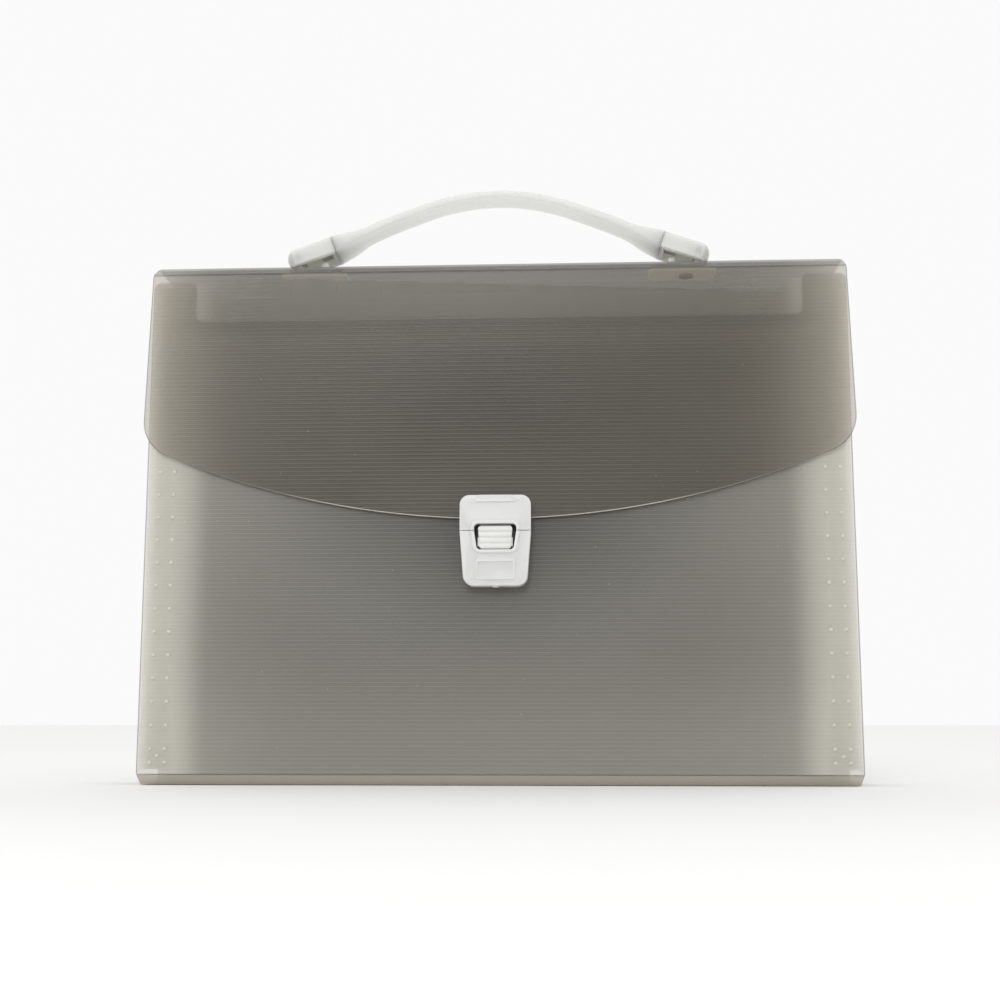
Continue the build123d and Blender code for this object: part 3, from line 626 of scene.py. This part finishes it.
@dataclass(frozen=True)
class ThinFilm(Finish):
    """Cast polypropylene film, thin enough to glow: pleats and index sheets.

    The eye gets a soft milky sheen with faint draw lines, light that soaks through from fold to
    fold, and painted light: a pale glowing patch in both top corners, where light falls in beside
    the ears.
    """

    tone: str = "#c9c5b9"
    streak: str = "#b3afa3"
    see_through: float = 0.25
    stretch: tuple[float, float, float] = (1.0, 1.0, 0.05)
    soaking: float = 0.0
    painted_corner_light: float = 0.2
    corner_sides: tuple[float, float] = (134.0, 144.0)
    corner_top: tuple[float, float] = (214.0, 222.0)
    corner_depth: tuple[float, float] = (40.0, 30.0)
    painted_corner_glow: str = "#e2dfd6"
    line_scale: float = 260.0  # per metre: draw lines 4 mm apart
    gloss: tuple[float, float] = (0.3, 0.48)
    relief: tuple[float, float] = (0.3, 0.02)

    def corners(self, tree: NodeTree, place: NodeSocket) -> NodeSocket:
        """Find the front of the two top corners, which get a painted glow.

        Args:
            tree: Node tree of the material.
            place: Object coordinates.

        Returns:
            Strength of the painted glow in them, and 0 elsewhere.
        """
        facing = add_node(tree, "ShaderNodeTexCoord").outputs["Normal"]
        facing = add_node(tree, "ShaderNodeSeparateXYZ", {0: facing}).outputs["Y"]
        light = {0: facing, 1: -self.painted_corner_light}
        light = add_node(tree, "ShaderNodeMath", light, operation="MULTIPLY", use_clamp=True)
        axes = add_node(tree, "ShaderNodeSeparateXYZ", {0: place}).outputs
        side = self.from_middle(tree, axes)
        share = light.outputs[0]
        for value, (start, end) in (
            (side, self.corner_sides),
            (axes["Z"], self.corner_top),
            (axes["Y"], self.corner_depth),
        ):
            both = {0: share, 1: self.ramp(tree, value, start, end)}
            share = add_node(tree, "ShaderNodeMath", both, operation="MULTIPLY").outputs[0]
        return share

    def build(self) -> Material:
        """Build the film with its draw lines.

        Returns:
            The material of the film.
        """
        material, tree, place = self.start()
        drawn = {"Vector": place, "Scale": self.stretch}
        drawn = add_node(tree, "ShaderNodeMapping", drawn).outputs[0]
        lines = {"Vector": drawn, "Scale": self.line_scale, "Detail": 4.0}
        lines = add_node(tree, "ShaderNodeTexNoise", lines).outputs[0]
        tones = (self.streak, self.tone)
        inputs = self.skin(tree, lines, tones, self.gloss, lines, self.relief)
        inputs["IOR"] = POLYPROPYLENE_IOR
        inputs["Alpha"] = self.solid_share(tree, self.see_through)
        if self.soaking:
            inputs.update(self.soaked(1.0, self.soaking))
        # Painted light: the top corners glow, as if lit through the gap beside the ears
        inputs["Emission Color"] = linear(self.painted_corner_glow)
        inputs["Emission Strength"] = self.corners(tree, place)
        self.end(tree, inputs)
        return material


@dataclass(frozen=True)
class MouldedPlastic(Finish):
    """Injection-moulded white polypropylene with a spark-eroded satin skin.

    The eye gets a fine even grain, a soft broad highlight and slightly polished patches.
    """

    tone: str = "#d9d9d8"
    shade: str = "#d0d0ce"
    roughness: float = 0.38
    grain: float = 0.5
    grain_depth: float = 0.012
    subsurface: float = 0.0
    glow_depth: float = 6.0
    # Painted light: a glow that stands in for light passed through a thin plate
    passed_light: float = 0.0
    passed_tone: str = "#d8cdb9"
    # Painted shade on the faces towards the front and the back
    painted_side_shade: str = ""
    patch_scale: float = 55.0  # per metre: polished patches 18 mm across
    patch_gloss: float = 0.08
    grain_strength: float = 0.4

    def build(self) -> Material:
        """Build the moulded skin.

        Returns:
            The material of the plastic.
        """
        material, tree, place = self.start()
        patches = {"Vector": place, "Scale": self.patch_scale, "Detail": 3.0}
        patches = add_node(tree, "ShaderNodeTexNoise", patches).outputs[0]
        # The real grain is near 0.1 mm and is drawn coarser, so that it shows
        grain = {"Vector": place, "Scale": 1 / (self.grain * MM), "Detail": 2.0}
        grain = add_node(tree, "ShaderNodeTexNoise", grain).outputs[0]
        tones = (self.shade, self.tone)
        gloss = (self.roughness - self.patch_gloss, self.roughness + self.patch_gloss)
        relief = (self.grain_strength, self.grain_depth)
        inputs = self.skin(tree, patches, tones, gloss, grain, relief)
        inputs["IOR"] = POLYPROPYLENE_IOR
        if self.painted_side_shade:
            # Painted shade: the faces towards the front and the back are darker
            facing = add_node(tree, "ShaderNodeTexCoord").outputs["Normal"]
            facing = add_node(tree, "ShaderNodeSeparateXYZ", {0: facing}).outputs["Y"]
            side_shaded = add_node(tree, "ShaderNodeMath", {0: facing}, operation="ABSOLUTE").outputs[0]
            side_shaded = {0: side_shaded, 6: inputs["Base Color"], 7: linear(self.painted_side_shade)}
            side_shaded = add_node(tree, "ShaderNodeMix", side_shaded, data_type="RGBA").outputs[2]
            inputs["Base Color"] = side_shaded
        if self.subsurface:
            inputs.update(self.soaked(self.subsurface, self.glow_depth))
        if self.passed_light:
            # Painted light: a glow that stands in for light that comes down through a thin plate
            # and shows on its hidden side
            inputs["Emission Color"] = linear(self.passed_tone)
            inputs["Emission Strength"] = self.passed_light
        self.end(tree, inputs)
        return material


@dataclass(frozen=True)
class PlatedSteel(Finish):
    """Zinc-plated steel, drawn or turned, with fine lines.

    The eye gets a dull metal gleam that breaks up along the lines.
    """

    tone: str = "#b9b9b4"
    shade: str = "#8f8f8c"
    stretch: tuple[float, float, float] = (1.0, 0.08, 1.0)
    line_scale: float = 2200.0  # per metre: drawn lines, two to a millimetre so that they show
    gloss: tuple[float, float] = (0.24, 0.4)
    relief: tuple[float, float] = (0.3, 0.01)

    def build(self) -> Material:
        """Build the metal with its drawn lines.

        Returns:
            The material of the metal.
        """
        material, tree, place = self.start()
        drawn = {"Vector": place, "Scale": self.stretch}
        drawn = add_node(tree, "ShaderNodeMapping", drawn).outputs[0]
        lines = {"Vector": drawn, "Scale": self.line_scale, "Detail": 3.0}
        lines = add_node(tree, "ShaderNodeTexNoise", lines).outputs[0]
        tones = (self.shade, self.tone)
        inputs = self.skin(tree, lines, tones, self.gloss, lines, self.relief)
        self.end(tree, inputs | {"Metallic": 1.0})
        return material


@dataclass(frozen=True)
class StageSurface(Finish):
    """Matt white paper of a studio floor."""

    tone: str = "#fbfbf9"
    roughness: float = 0.9

    def build(self) -> Material:
        """Build the plain floor.

        Returns:
            The material of the floor.
        """
        material, tree, _ = self.start()
        self.end(tree, {"Base Color": linear(self.tone), "Roughness": self.roughness})
        return material


class Finishes:
    """The finishes of the case, each built once."""

    def __init__(self) -> None:
        """Build every material."""
        self.front = RibbedSheet(
            "smoke_ribbed_sheet_front",
            deep="#393834",
            pale="#c2beb3",
            see_through=0.12,
            clearer=0.2,
            fade=0.41,
            painted_foot_light=0.16,
            painted_top_tone=-0.6,
            high_from=204.0,
            high_to=222.0,
            painted_shade=0.24,
            painted_shade_height=142.0,
            painted_shade_reach=(120.0, 92.0),
        ).build()
        self.flap = FlapSheet(
            "smoke_ribbed_sheet_flap",
            deep="#373226",
            pale="#a8a193",
            see_through=0.12,
            clearer=0.18,
            rib_depth=0.04,
            rib_tone=0.014,
            cut="#c9c4b8",
            fade=0.9,
            fade_power=8.0,
            step=0.0,
            painted_foot_light=0.0,
            painted_top_tone=0.1,
        ).build()
        self.rear = RibbedSheet(
            "smoke_ribbed_sheet_rear",
            run=Run.FOLDED,
            deep="#888276",
            see_through=0.12,
            clearer=0.0,
            fade=0.0,
            step=0.0,
        ).build()
        self.spine = RibbedSheet(
            "smoke_ribbed_sheet_top",
            deep="#585751",
            see_through=0.26,
            fade=0.1,
            step=0.12,
            clearer=0.0,
            run=Run.LEVEL,
            painted_foot_light=0.0,
            painted_shade=0.0,
        ).build()
        self.film = ThinFilm(
            "pleated_film",
            tone="#e4e2db",
            streak="#d4d2ca",
            soaking=2.0,
            corner_depth=(-14.0, -15.5),
        ).build()
        self.index = ThinFilm("index_sheet", tone="#c9c7be", streak="#bdbbb2").build()
        self.white = MouldedPlastic("moulded_white", subsurface=0.8, glow_depth=3.0).build()
        # Painted highlight: the rounded edges of the mouldings are toned paler than their faces,
        # as if they caught the light
        self.edge = MouldedPlastic(
            "moulded_white_painted_edge_highlight",
            tone="#f4f4f1",
            shade="#efefec",
            roughness=0.26,
            subsurface=0.8,
            glow_depth=2.0,
        ).build()
        # Painted light: the pad is toned paler than the other white mouldings, as if lit in its
        # shaded window
        self.pad = MouldedPlastic(
            "moulded_white_pad_painted_light",
            tone="#e1e1de",
            shade="#dad9d6",
            subsurface=0.8,
            glow_depth=2.0,
        ).build()
        self.cap = MouldedPlastic(
            "moulded_white_cap", tone="#d3d3cf", shade="#cbcbc6", subsurface=1.0
        ).build()
        self.inner = MouldedPlastic("moulded_white_inner_painted_glow", passed_light=0.42).build()
        self.weld = MouldedPlastic(
            "melted_weld_dot", tone="#ccc8bd", shade="#c2beb3", roughness=0.3
        ).build()
        self.strap = MouldedPlastic(
            "milky_flexible_plastic",
            tone="#e2e3e0",
            shade="#dadbd8",
            roughness=0.46,
            grain=0.9,
            subsurface=1.0,
            glow_depth=25.0,
            painted_side_shade="#c2c3c0",
        ).build()
        self.steel = PlatedSteel("plated_steel").build()


class Piece:
    """One finished mesh of the case, in the row frame."""

    def __init__(self, name: str, shape: BMesh) -> None:
        """Turn a bmesh into an object at the origin.

        Args:
            name: Name of the piece.
            shape: Its mesh, in metres. It is freed.
        """
        mesh = bpy.data.meshes.new(name)
        shape.to_mesh(mesh)
        shape.free()
        self.item = bpy.data.objects.new(name, mesh)
        bpy.context.scene.collection.objects.link(self.item)

    def shade(self, *finishes: Material, sharp: float = 35.0) -> "Piece":
        """Give the piece its finishes and smooth faces.

        Args:
            *finishes: Material of the piece, then that of its rounded edges.
            sharp: Angle in degrees over which an edge stays sharp.

        Returns:
            The piece.
        """
        self.item.data.materials.clear()
        for finish in finishes:
            self.item.data.materials.append(finish)
        self.item.data.polygons.foreach_set("use_smooth", [True] * len(self.item.data.polygons))
        self.item.data.set_sharp_from_angle(angle=math.radians(sharp))
        return self

    def stands_for(self, *nodes: str, slot: str) -> "Piece":
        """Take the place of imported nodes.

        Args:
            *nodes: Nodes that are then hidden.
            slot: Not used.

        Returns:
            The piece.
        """
        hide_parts(*nodes)
        return self

    def rides(self, body: str) -> "Piece":
        """Let the piece move with a body.

        Args:
            body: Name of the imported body.

        Returns:
            The piece.
        """
        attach(self.item, body)
        return self


def softened(
    node: str, width: float, segments: int = 2, angle: float = 30.0, edge_slot: int = 0
) -> BMesh:
    """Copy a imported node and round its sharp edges.

    Args:
        node: Name of the node.
        width: Width of the rounding in millimetres.
        segments: Steps across the rounding.
        angle: Angle in degrees over which an edge counts as sharp.
        edge_slot: Material slot of the rounded edges.

    Returns:
        The rounded copy.
    """
    shape = bmesh.new()
    shape.from_mesh(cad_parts[node].data)
    bmesh.ops.remove_doubles(shape, verts=shape.verts, dist=MERGE_REACH * MM)
    flat = math.radians(FLAT_ANGLE)
    bmesh.ops.dissolve_limit(shape, angle_limit=flat, verts=shape.verts, edges=shape.edges)
    closed = [edge for edge in shape.edges if len(edge.link_faces) == 2]
    sharp = [edge for edge in closed if edge.calc_face_angle() > math.radians(angle)]
    bmesh.ops.bevel(
        shape,
        geom=sharp,
        offset=width * MM,
        offset_type="OFFSET",
        segments=segments,
        profile=0.5,
        affect="EDGES",
        clamp_overlap=True,
        material=edge_slot,
    )
    return shape


@dataclass(frozen=True)
class Shell:
    """The creased shell: its sheets and the weld dots of the gusset tabs."""

    dot_radius: float = 0.95
    dot_rise: float = 0.6
    dot_columns: tuple[float, float] = (152.1, 158.9)
    dot_pitch: float = 10.72
    dot_low: float = 16.1
    dot_rows: int = 21
    foot_row: float = 10.0
    centre_dot: tuple[float, float] = (155.7, 12.9)
    outer_face: float = 18.0
    dot_facets: tuple[int, int] = (10, 6)

    def dots(self, name: str, outwards: int, body: str, finish: Material) -> None:
        """Raise the weld dots on one sheet.

        Args:
            name: Name of the piece.
            outwards: -1 for the front sheet and 1 for the back sheet.
            body: Body that the dots ride on.
            finish: Material of the dots.
        """
        rows = [self.foot_row] + [self.dot_low + i * self.dot_pitch for i in range(self.dot_rows)]
        spots = [(x, z) for z in rows for x in self.dot_columns] + [self.centre_dot]
        flatten = (1, self.dot_rise / self.dot_radius, 1)
        around, up = self.dot_facets
        shape = bmesh.new()
        for x, z in spots:
            for side in (-1, 1):
                dome = bmesh.ops.create_uvsphere(
                    shape, u_segments=around, v_segments=up, radius=self.dot_radius * MM
                )["verts"]
                bmesh.ops.scale(shape, vec=flatten, verts=dome)
                place = (side * x * MM, outwards * self.outer_face * MM, z * MM)
                bmesh.ops.translate(shape, vec=place, verts=dome)
        Piece(name, shape).shade(finish).rides(body)

    def build(self, finishes: Finishes) -> None:
        """Dress the sheets and weld the dots.

        Args:
            finishes: All finishes.
        """
        sheets = {
            "rear_shell": finishes.rear,
            "front_panel": finishes.front,
            "top_spine": finishes.spine,
            "flap": finishes.flap,
        }
        for node, finish in sheets.items():
            dress(node, finish)
        self.dots("weld_dots_front", -1, "front", finishes.weld)
        self.dots("weld_dots_back", 1, "shell", finishes.rear)


def dress(node: str, finish: Material) -> None:
    """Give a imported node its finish.

    Args:
        node: Name of the node.
        finish: Its material.
    """
    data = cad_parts[node].data
    data.materials.clear()
    data.materials.append(finish)


@dataclass(frozen=True)
class Pleats:
    """The pleated side films, which fan open between the back sheet and the front sheet."""

    pockets: int = 13
    fold_depth: float = 16.65
    film: float = 0.3
    low: float = 7.0
    high: float = 236.0
    outer: float = 162.7
    inner: float = 140.5
    tab_outer: float = 163.9
    tab_inner: float = 148.4
    rise_steps: int = 12
    crease_angle: float = 30.0

    def walls(self) -> list[tuple[float, float]]:
        """List the folds of one film from front to back.

        Returns:
            Points (x, y) in millimetres.
        """
        pitch = 2 * self.fold_depth / (self.pockets - 1)
        line = [(self.tab_inner, -self.fold_depth), (self.tab_outer, -self.fold_depth)]
        for k in range(self.pockets - 1):
            line.append((self.inner, -self.fold_depth + (k + 0.5) * pitch))
            if k < self.pockets - 2:
                line.append((self.outer, -self.fold_depth + (k + 1) * pitch))
        return line + [(self.tab_outer, self.fold_depth), (self.tab_inner, self.fold_depth)]

    def build(self, finishes: Finishes) -> None:
        """Fold both films and put them in place of the gussets.

        Args:
            finishes: All finishes.
        """
        rise = (self.high - self.low) / self.rise_steps
        for hand, side in (("left", -1), ("right", 1)):
            shape = bmesh.new()
            foot = [(side * x * MM, y * MM, self.low * MM) for x, y in self.walls()]
            points = [shape.verts.new(place) for place in foot]
            edges = [shape.edges.new(pair) for pair in zip(points, points[1:])]
            for _ in range(self.rise_steps):
                grown = bmesh.ops.extrude_edge_only(shape, edges=edges)["geom"]
                top = [g for g in grown if isinstance(g, BMVert)]
                edges = [g for g in grown if isinstance(g, BMEdge)]
                bmesh.ops.translate(shape, vec=(0, 0, rise * MM), verts=top)
            bmesh.ops.recalc_face_normals(shape, faces=shape.faces)
            bmesh.ops.solidify(shape, geom=shape.faces, thickness=self.film * MM)
            piece = Piece(f"pleats_{hand}", shape).shade(finishes.film, sharp=self.crease_angle)
            piece.stands_for(f"gusset_{hand}", slot="gusset_film")
            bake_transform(piece.item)


@dataclass(frozen=True)
class Dividers:
    """The index sheets between the pockets."""

    count: int = 12

    def build(self, finishes: Finishes) -> None:
        """Dress every sheet.

        Args:
            finishes: All finishes.
        """
        for k in range(1, self.count + 1):
            dress(f"divider_{k:02d}", finishes.index)


@dataclass(frozen=True)
class Clasp:
    """The clasp with its press pad and the strip of spring behind it."""

    edge: float = 0.25
    spring_edge: float = 0.05
    tongue: float = -21.4
    spring_rise: float = 3.0
    travel: float = 1.2

    def build(self, finishes: Finishes) -> None:
        """Round the mouldings and dress the small parts.

        Args:
            finishes: All finishes.
        """
        for node, body, finish in (
            ("clasp_keeper", "front", finishes.white),
            ("hasp_plate", "flap", finishes.white),
            ("press_pad", "pad", finishes.pad),
        ):
            piece = Piece(f"{node}_soft", softened(node, self.edge, edge_slot=1))
            # The rounded edges get the painted highlight of the edge finish
            piece.shade(finish, finishes.edge)
            piece.stands_for(node, slot="white_plastic").rides(body)
        for node in ("hasp_back_plate", "keeper_back_plate"):
            dress(node, finishes.white)
        for node in ("hasp_rivets", "keeper_rivets"):
            dress(node, finishes.steel)
        strip = softened("pad_spring", self.spring_edge, segments=1)
        spring = Piece("leaf_spring", strip)
        spring.shade(finishes.steel).stands_for("pad_spring", slot="spring_steel").rides("flap")
        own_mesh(spring.item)


@dataclass(frozen=True)
class Strap:
    """The flexible strap, swept from one cap over the crown to the other."""

    half_span: float = 79.95
    crown: float = 285.4
    joint: float = 258.4
    thick: float = 3.7
    end_thick: float = 9.2
    slope: float = 19.0
    half_width: float = 8.0
    end_half_width: float = 10.0
    bell_from: float = 63.0
    bell_to: float = 74.5
    corner: float = 1.3
    corner_steps: int = 4
    steps: int = 40
    tang: tuple[float, float, float] = (7.8, 6.0, 1.5)  # reach, half width, half height
    tang_steps: tuple[float, float] = (0.35, 0.2)
    corner_share: float = 0.7
    sharp_angle: float = 50.0
    arch: tuple[tuple[float, float, float], ...] = (
        (0.0, 0.0, 1.0),
        (0.2, 0.041, 1.08),
        (0.387, 0.173, 1.11),
        (0.537, 0.321, 1.24),
        (0.68, 0.48, 1.32),
        (0.805, 0.642, 1.41),
        (0.88, 0.72, 1.86),
    )
    pin_height: float = 252.44
    press: float = 12.0

    def stations(self) -> list[tuple[float, float, float]]:
        """Give the middle and the depth of the strap along its right half.

        Returns:
            Rows of (x, z, vertical depth) in millimetres.
        """
        rows = []
        for share, fall, thick in self.arch:
            depth = thick * self.thick
            top = self.crown - fall * (self.crown - self.joint)
            rows.append((share * self.half_span, top - depth / 2, depth))
        tilt = math.radians(self.slope)
        rows.append((self.half_span, self.joint, self.end_thick / math.cos(tilt)))
        return rows

    def section(self, half_width: float, half_height: float) -> list[tuple[float, float]]:
        """Give a rounded rectangle, counted the same way at every size.

        Args:
            half_width: Half the width along Y.
            half_height: Half the height.

        Returns:
            Points (across, up) in millimetres.
        """
        corner = min(self.corner, half_height * self.corner_share)
        points = []
        for quarter in range(4):
            middle_x = (half_width - corner) * (1 if quarter in (0, 3) else -1)
            middle_z = (half_height - corner) * (1 if quarter in (0, 1) else -1)
            for step in range(self.corner_steps + 1):
                turn = math.radians(90 * (quarter + step / self.corner_steps))
                points.append(
                    (middle_x + corner * math.cos(turn), middle_z + corner * math.sin(turn))
                )
        return points

    def rings(self) -> list[list[Vector]]:
        """Lay the sections along the strap from the left end to the right end.

        Returns:
            Rings of points in metres.
        """
        rows = self.stations()
        mirrored = [(-x, z, d) for x, z, d in rows[:0:-1]] + rows
        line = Curve(mirrored)
        rings = []
        for i in range(2 * self.steps + 1):
            x = self.half_span * (i / self.steps - 1)
            z, depth, lean = line.at(x)
            bell = smooth_step((abs(x) - self.bell_from) / (self.bell_to - self.bell_from))
            width = self.half_width + bell * (self.end_half_width - self.half_width)
            near_end = smooth_step((abs(x) - self.bell_to) / (self.half_span - self.bell_to))
            end_lean = -math.copysign(math.radians(self.slope), x)
            lean += near_end * (end_lean - lean)
            rings.append(self.ring(x, z, lean, width, depth * math.cos(lean) / 2))
        return rings

    def ring(
        self, x: float, z: float, lean: float, half_width: float, half_height: float
    ) -> list[Vector]:
        """Place one section across the strap.

        Args:
            x: Middle of the ring along the case.
            z: Middle of the ring above the floor.
            lean: Slope of the strap there, in radians.
            half_width: Half the width along Y.
            half_height: Half the height across the strap.

        Returns:
            Points in metres.
        """
        up = Vector((-math.sin(lean), 0, math.cos(lean)))
        centre = Vector((x, 0, z))
        return [
            (centre + up * rise + Vector((0, across, 0))) * MM
            for across, rise in self.section(half_width, half_height)
        ]

    def sweep(self, shape: BMesh) -> list[BMFace]:
        """Draw the section along the strap.

        Args:
            shape: Empty mesh that the strap is drawn in.

        Returns:
            Its two end faces.
        """
        rings = self.rings()
        first = [shape.verts.new(p) for p in rings[0]]
        ends = [shape.faces.new(first[::-1])]
        edges = list(ends[0].edges)
        for before, ring in zip(rings, rings[1:]):
            grown = bmesh.ops.extrude_edge_only(shape, edges=edges)["geom"]
            edges = [g for g in grown if isinstance(g, BMEdge)]
            for vert in [g for g in grown if isinstance(g, BMVert)]:
                nearest = min(range(len(before)), key=lambda n: (before[n] - vert.co).length)
                vert.co = ring[nearest]
        ends += bmesh.ops.contextual_create(shape, geom=edges)["faces"]
        return ends

    def add_tang(self, shape: BMesh, end: BMFace) -> None:
        """Draw the tang that sits in a cap out of an end of the strap.

        Args:
            shape: Mesh of the strap.
            end: Its end face.
        """
        reach, half_width, half_height = self.tang
        for step in self.tang_steps:
            bmesh.ops.inset_individual(shape, faces=[end], thickness=step * MM, depth=0.0)
        side = math.copysign(1, end.calc_center_median().x)
        lean = -side * math.radians(self.slope)
        out = Vector((math.cos(lean), 0, math.sin(lean))) * side
        up = Vector((-math.sin(lean), 0, math.cos(lean)))
        root = Vector((side * self.half_span, 0, self.joint)) * MM
        for vert in end.verts:
            local = vert.co - root
            across = local.y / (self.end_half_width * MM) * half_width * MM
            rise = local.dot(up) / (self.end_thick / 2 * MM) * half_height * MM
            vert.co = root + Vector((0, across, 0)) + up * rise
        grown = bmesh.ops.extrude_face_region(shape, geom=[end])["geom"]
        tip = [g for g in grown if isinstance(g, BMVert)]
        bmesh.ops.translate(shape, vec=out * reach * MM, verts=tip)
        bmesh.ops.delete(shape, geom=[end], context="FACES_ONLY")

    def build(self, finishes: Finishes) -> None:
        """Sweep the strap and let it ride on the lid.

        Args:
            finishes: All finishes.
        """
        shape = bmesh.new()
        ends = self.sweep(shape)
        bmesh.ops.recalc_face_normals(shape, faces=shape.faces)
        for end in ends:
            self.add_tang(shape, end)
        bmesh.ops.recalc_face_normals(shape, faces=shape.faces)
        piece = Piece("strap_swept", shape).shade(finishes.strap, sharp=self.sharp_angle)
        piece.stands_for("handle_strap", slot="strap_plastic").rides("lid")
        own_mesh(piece.item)


class Curve:
    """Smooth curve through rows of (x, z, depth), even in its slope."""

    def __init__(self, rows: Sequence[tuple[float, float, float]]) -> None:
        """Keep the rows and work out the slope at each.

        Args:
            rows: Rows in order of x.
        """
        self.rows = list(rows)
        self.slopes = []
        for i in range(len(self.rows)):
            low = self.rows[max(i - 1, 0)]
            high = self.rows[min(i + 1, len(self.rows) - 1)]
            run = high[0] - low[0]
            self.slopes.append(((high[1] - low[1]) / run, (high[2] - low[2]) / run))

    def at(self, x: float) -> tuple[float, float, float]:
        """Read the curve.

        Args:
            x: Place along the case.

        Returns:
            Height, depth and lean in radians.
        """
        i = 0
        while i < len(self.rows) - 2 and x > self.rows[i + 1][0]:
            i += 1
        (x0, *start), (x1, *end) = self.rows[i], self.rows[i + 1]
        run = x1 - x0
        t = (x - x0) / run
        values = []
        for n in range(2):
            m0 = self.slopes[i][n] * run
            m1 = self.slopes[i + 1][n] * run
            a, b = start[n], end[n]
            value = (
                (2 * t**3 - 3 * t**2 + 1) * a
                + (t**3 - 2 * t**2 + t) * m0
                + (3 * t**2 - 2 * t**3) * b
                + (t**3 - t**2) * m1
            )
            slope = (
                (6 * t**2 - 6 * t) * a
                + (3 * t**2 - 4 * t + 1) * m0
                + (6 * t - 6 * t**2) * b
                + (3 * t**2 - 2 * t) * m1
            ) / run
            values.append((value, slope))
        return values[0][0], values[1][0], math.atan(values[0][1])


@dataclass(frozen=True)
class Handle:
    """The caps, base plates, inner plates, pins and rivets of the handle."""

    cap_edge: float = 0.35
    plate_edge: float = 0.25

    def build(self, finishes: Finishes) -> None:
        """Round the mouldings and dress the metal.

        Args:
            finishes: All finishes.
        """
        for side in ("left", "right"):
            for node, body, edge in (
                (f"end_cap_{side}", f"cap_{side}", self.cap_edge),
                (f"base_plate_{side}", "lid", self.plate_edge),
            ):
                piece = Piece(f"{node}_soft", softened(node, edge, edge_slot=1))
                # The rounded edges get the painted highlight of the edge finish
                piece.shade(finishes.cap, finishes.edge)
                piece.stands_for(node, slot="white_plastic").rides(body)
            dress(f"inner_plate_{side}", finishes.inner)
        dress("plate_rivets", finishes.steel)
        dress("cap_pins", finishes.steel)
        Strap().build(finishes)


@dataclass(frozen=True)
class Studio:
    """Floor, light and camera."""

    floor_size: float = 12.0
    floor_drop: float = 0.3
    camera_place: tuple[float, float, float] = (0.0341, -0.668, 0.0297)
    tilt_up: float = 8.79
    turn: float = 2.84
    lens: float = 50.95
    sensor: float = 36.0
    clip: tuple[float, float] = (0.01, 50.0)
    sky: float = 0.96
    zenith: float = 0.88
    dimming: tuple[float, float] = (0.5, 0.9)
    lamp_place: tuple[float, float, float] = (-0.2, -1.5, 0.85)
    lamp_aim: tuple[float, float, float] = (0.0, 0.0, 0.13)
    lamp_size: float = 0.6
    lamp_power: float = 6.0

    def lamp(self) -> None:
        """Hang one soft lamp that faces the case."""
        data = bpy.data.lights.new("front_lamp", "AREA")
        data.size = self.lamp_size
        data.energy = self.lamp_power
        item = bpy.data.objects.new("front_lamp", data)
        item.location = self.lamp_place
        aim = Vector(self.lamp_aim) - Vector(self.lamp_place)
        item.rotation_euler = aim.to_track_quat("-Z", "Y").to_euler()
        bpy.context.scene.collection.objects.link(item)

    def air(self) -> World:
        """Surround the case with white that dims overhead.

        Returns:
            The world.
        """
        world = bpy.data.worlds.new("studio_air")
        world.use_nodes = True
        tree = world.node_tree
        tree.nodes.clear()
        way = add_node(tree, "ShaderNodeTexCoord").outputs["Generated"]
        height = add_node(tree, "ShaderNodeSeparateXYZ", {0: way}).outputs["Z"]
        start, end = self.dimming
        strength = {"Value": height, "From Min": start, "From Max": end}
        strength.update({"To Min": self.sky, "To Max": self.zenith})
        strength = add_node(tree, "ShaderNodeMapRange", strength).outputs[0]
        light = {"Color": linear("#ffffff"), "Strength": strength}
        light = add_node(tree, "ShaderNodeBackground", light).outputs[0]
        add_node(tree, "ShaderNodeOutputWorld", {"Surface": light})
        return world

    def build(self) -> None:
        """Set up the floor, the light and the camera."""
        shape = bmesh.new()
        bmesh.ops.create_grid(shape, x_segments=1, y_segments=1, size=self.floor_size / 2)
        bmesh.ops.translate(shape, vec=(0, 0, -self.floor_drop * MM), verts=shape.verts)
        floor = Piece("studio_floor", shape).shade(StageSurface("studio_paper").build())

        scene = bpy.context.scene
        scene.view_settings.view_transform = "Standard"
        scene.world = self.air()
        self.lamp()

        data = bpy.data.cameras.new("photo_camera")
        data.sensor_width = self.sensor
        data.lens = self.lens
        data.clip_start, data.clip_end = self.clip
        camera = bpy.data.objects.new("photo_camera", data)
        camera.location = self.camera_place
        camera.rotation_euler = (math.radians(90 + self.tilt_up), 0, math.radians(self.turn))
        scene.collection.objects.link(camera)
        scene.camera = camera


def main() -> None:
    """Dress the case and set up the studio."""
    logging.basicConfig(level=logging.INFO, format="%(message)s")
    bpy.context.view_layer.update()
    finishes = Finishes()
    for part in (Shell(), Pleats(), Dividers(), Clasp(), Handle()):
        part.build(finishes)
        LOG.info("built %s", type(part).__name__)
    Studio().build()


if __name__ == "__main__":
    main()
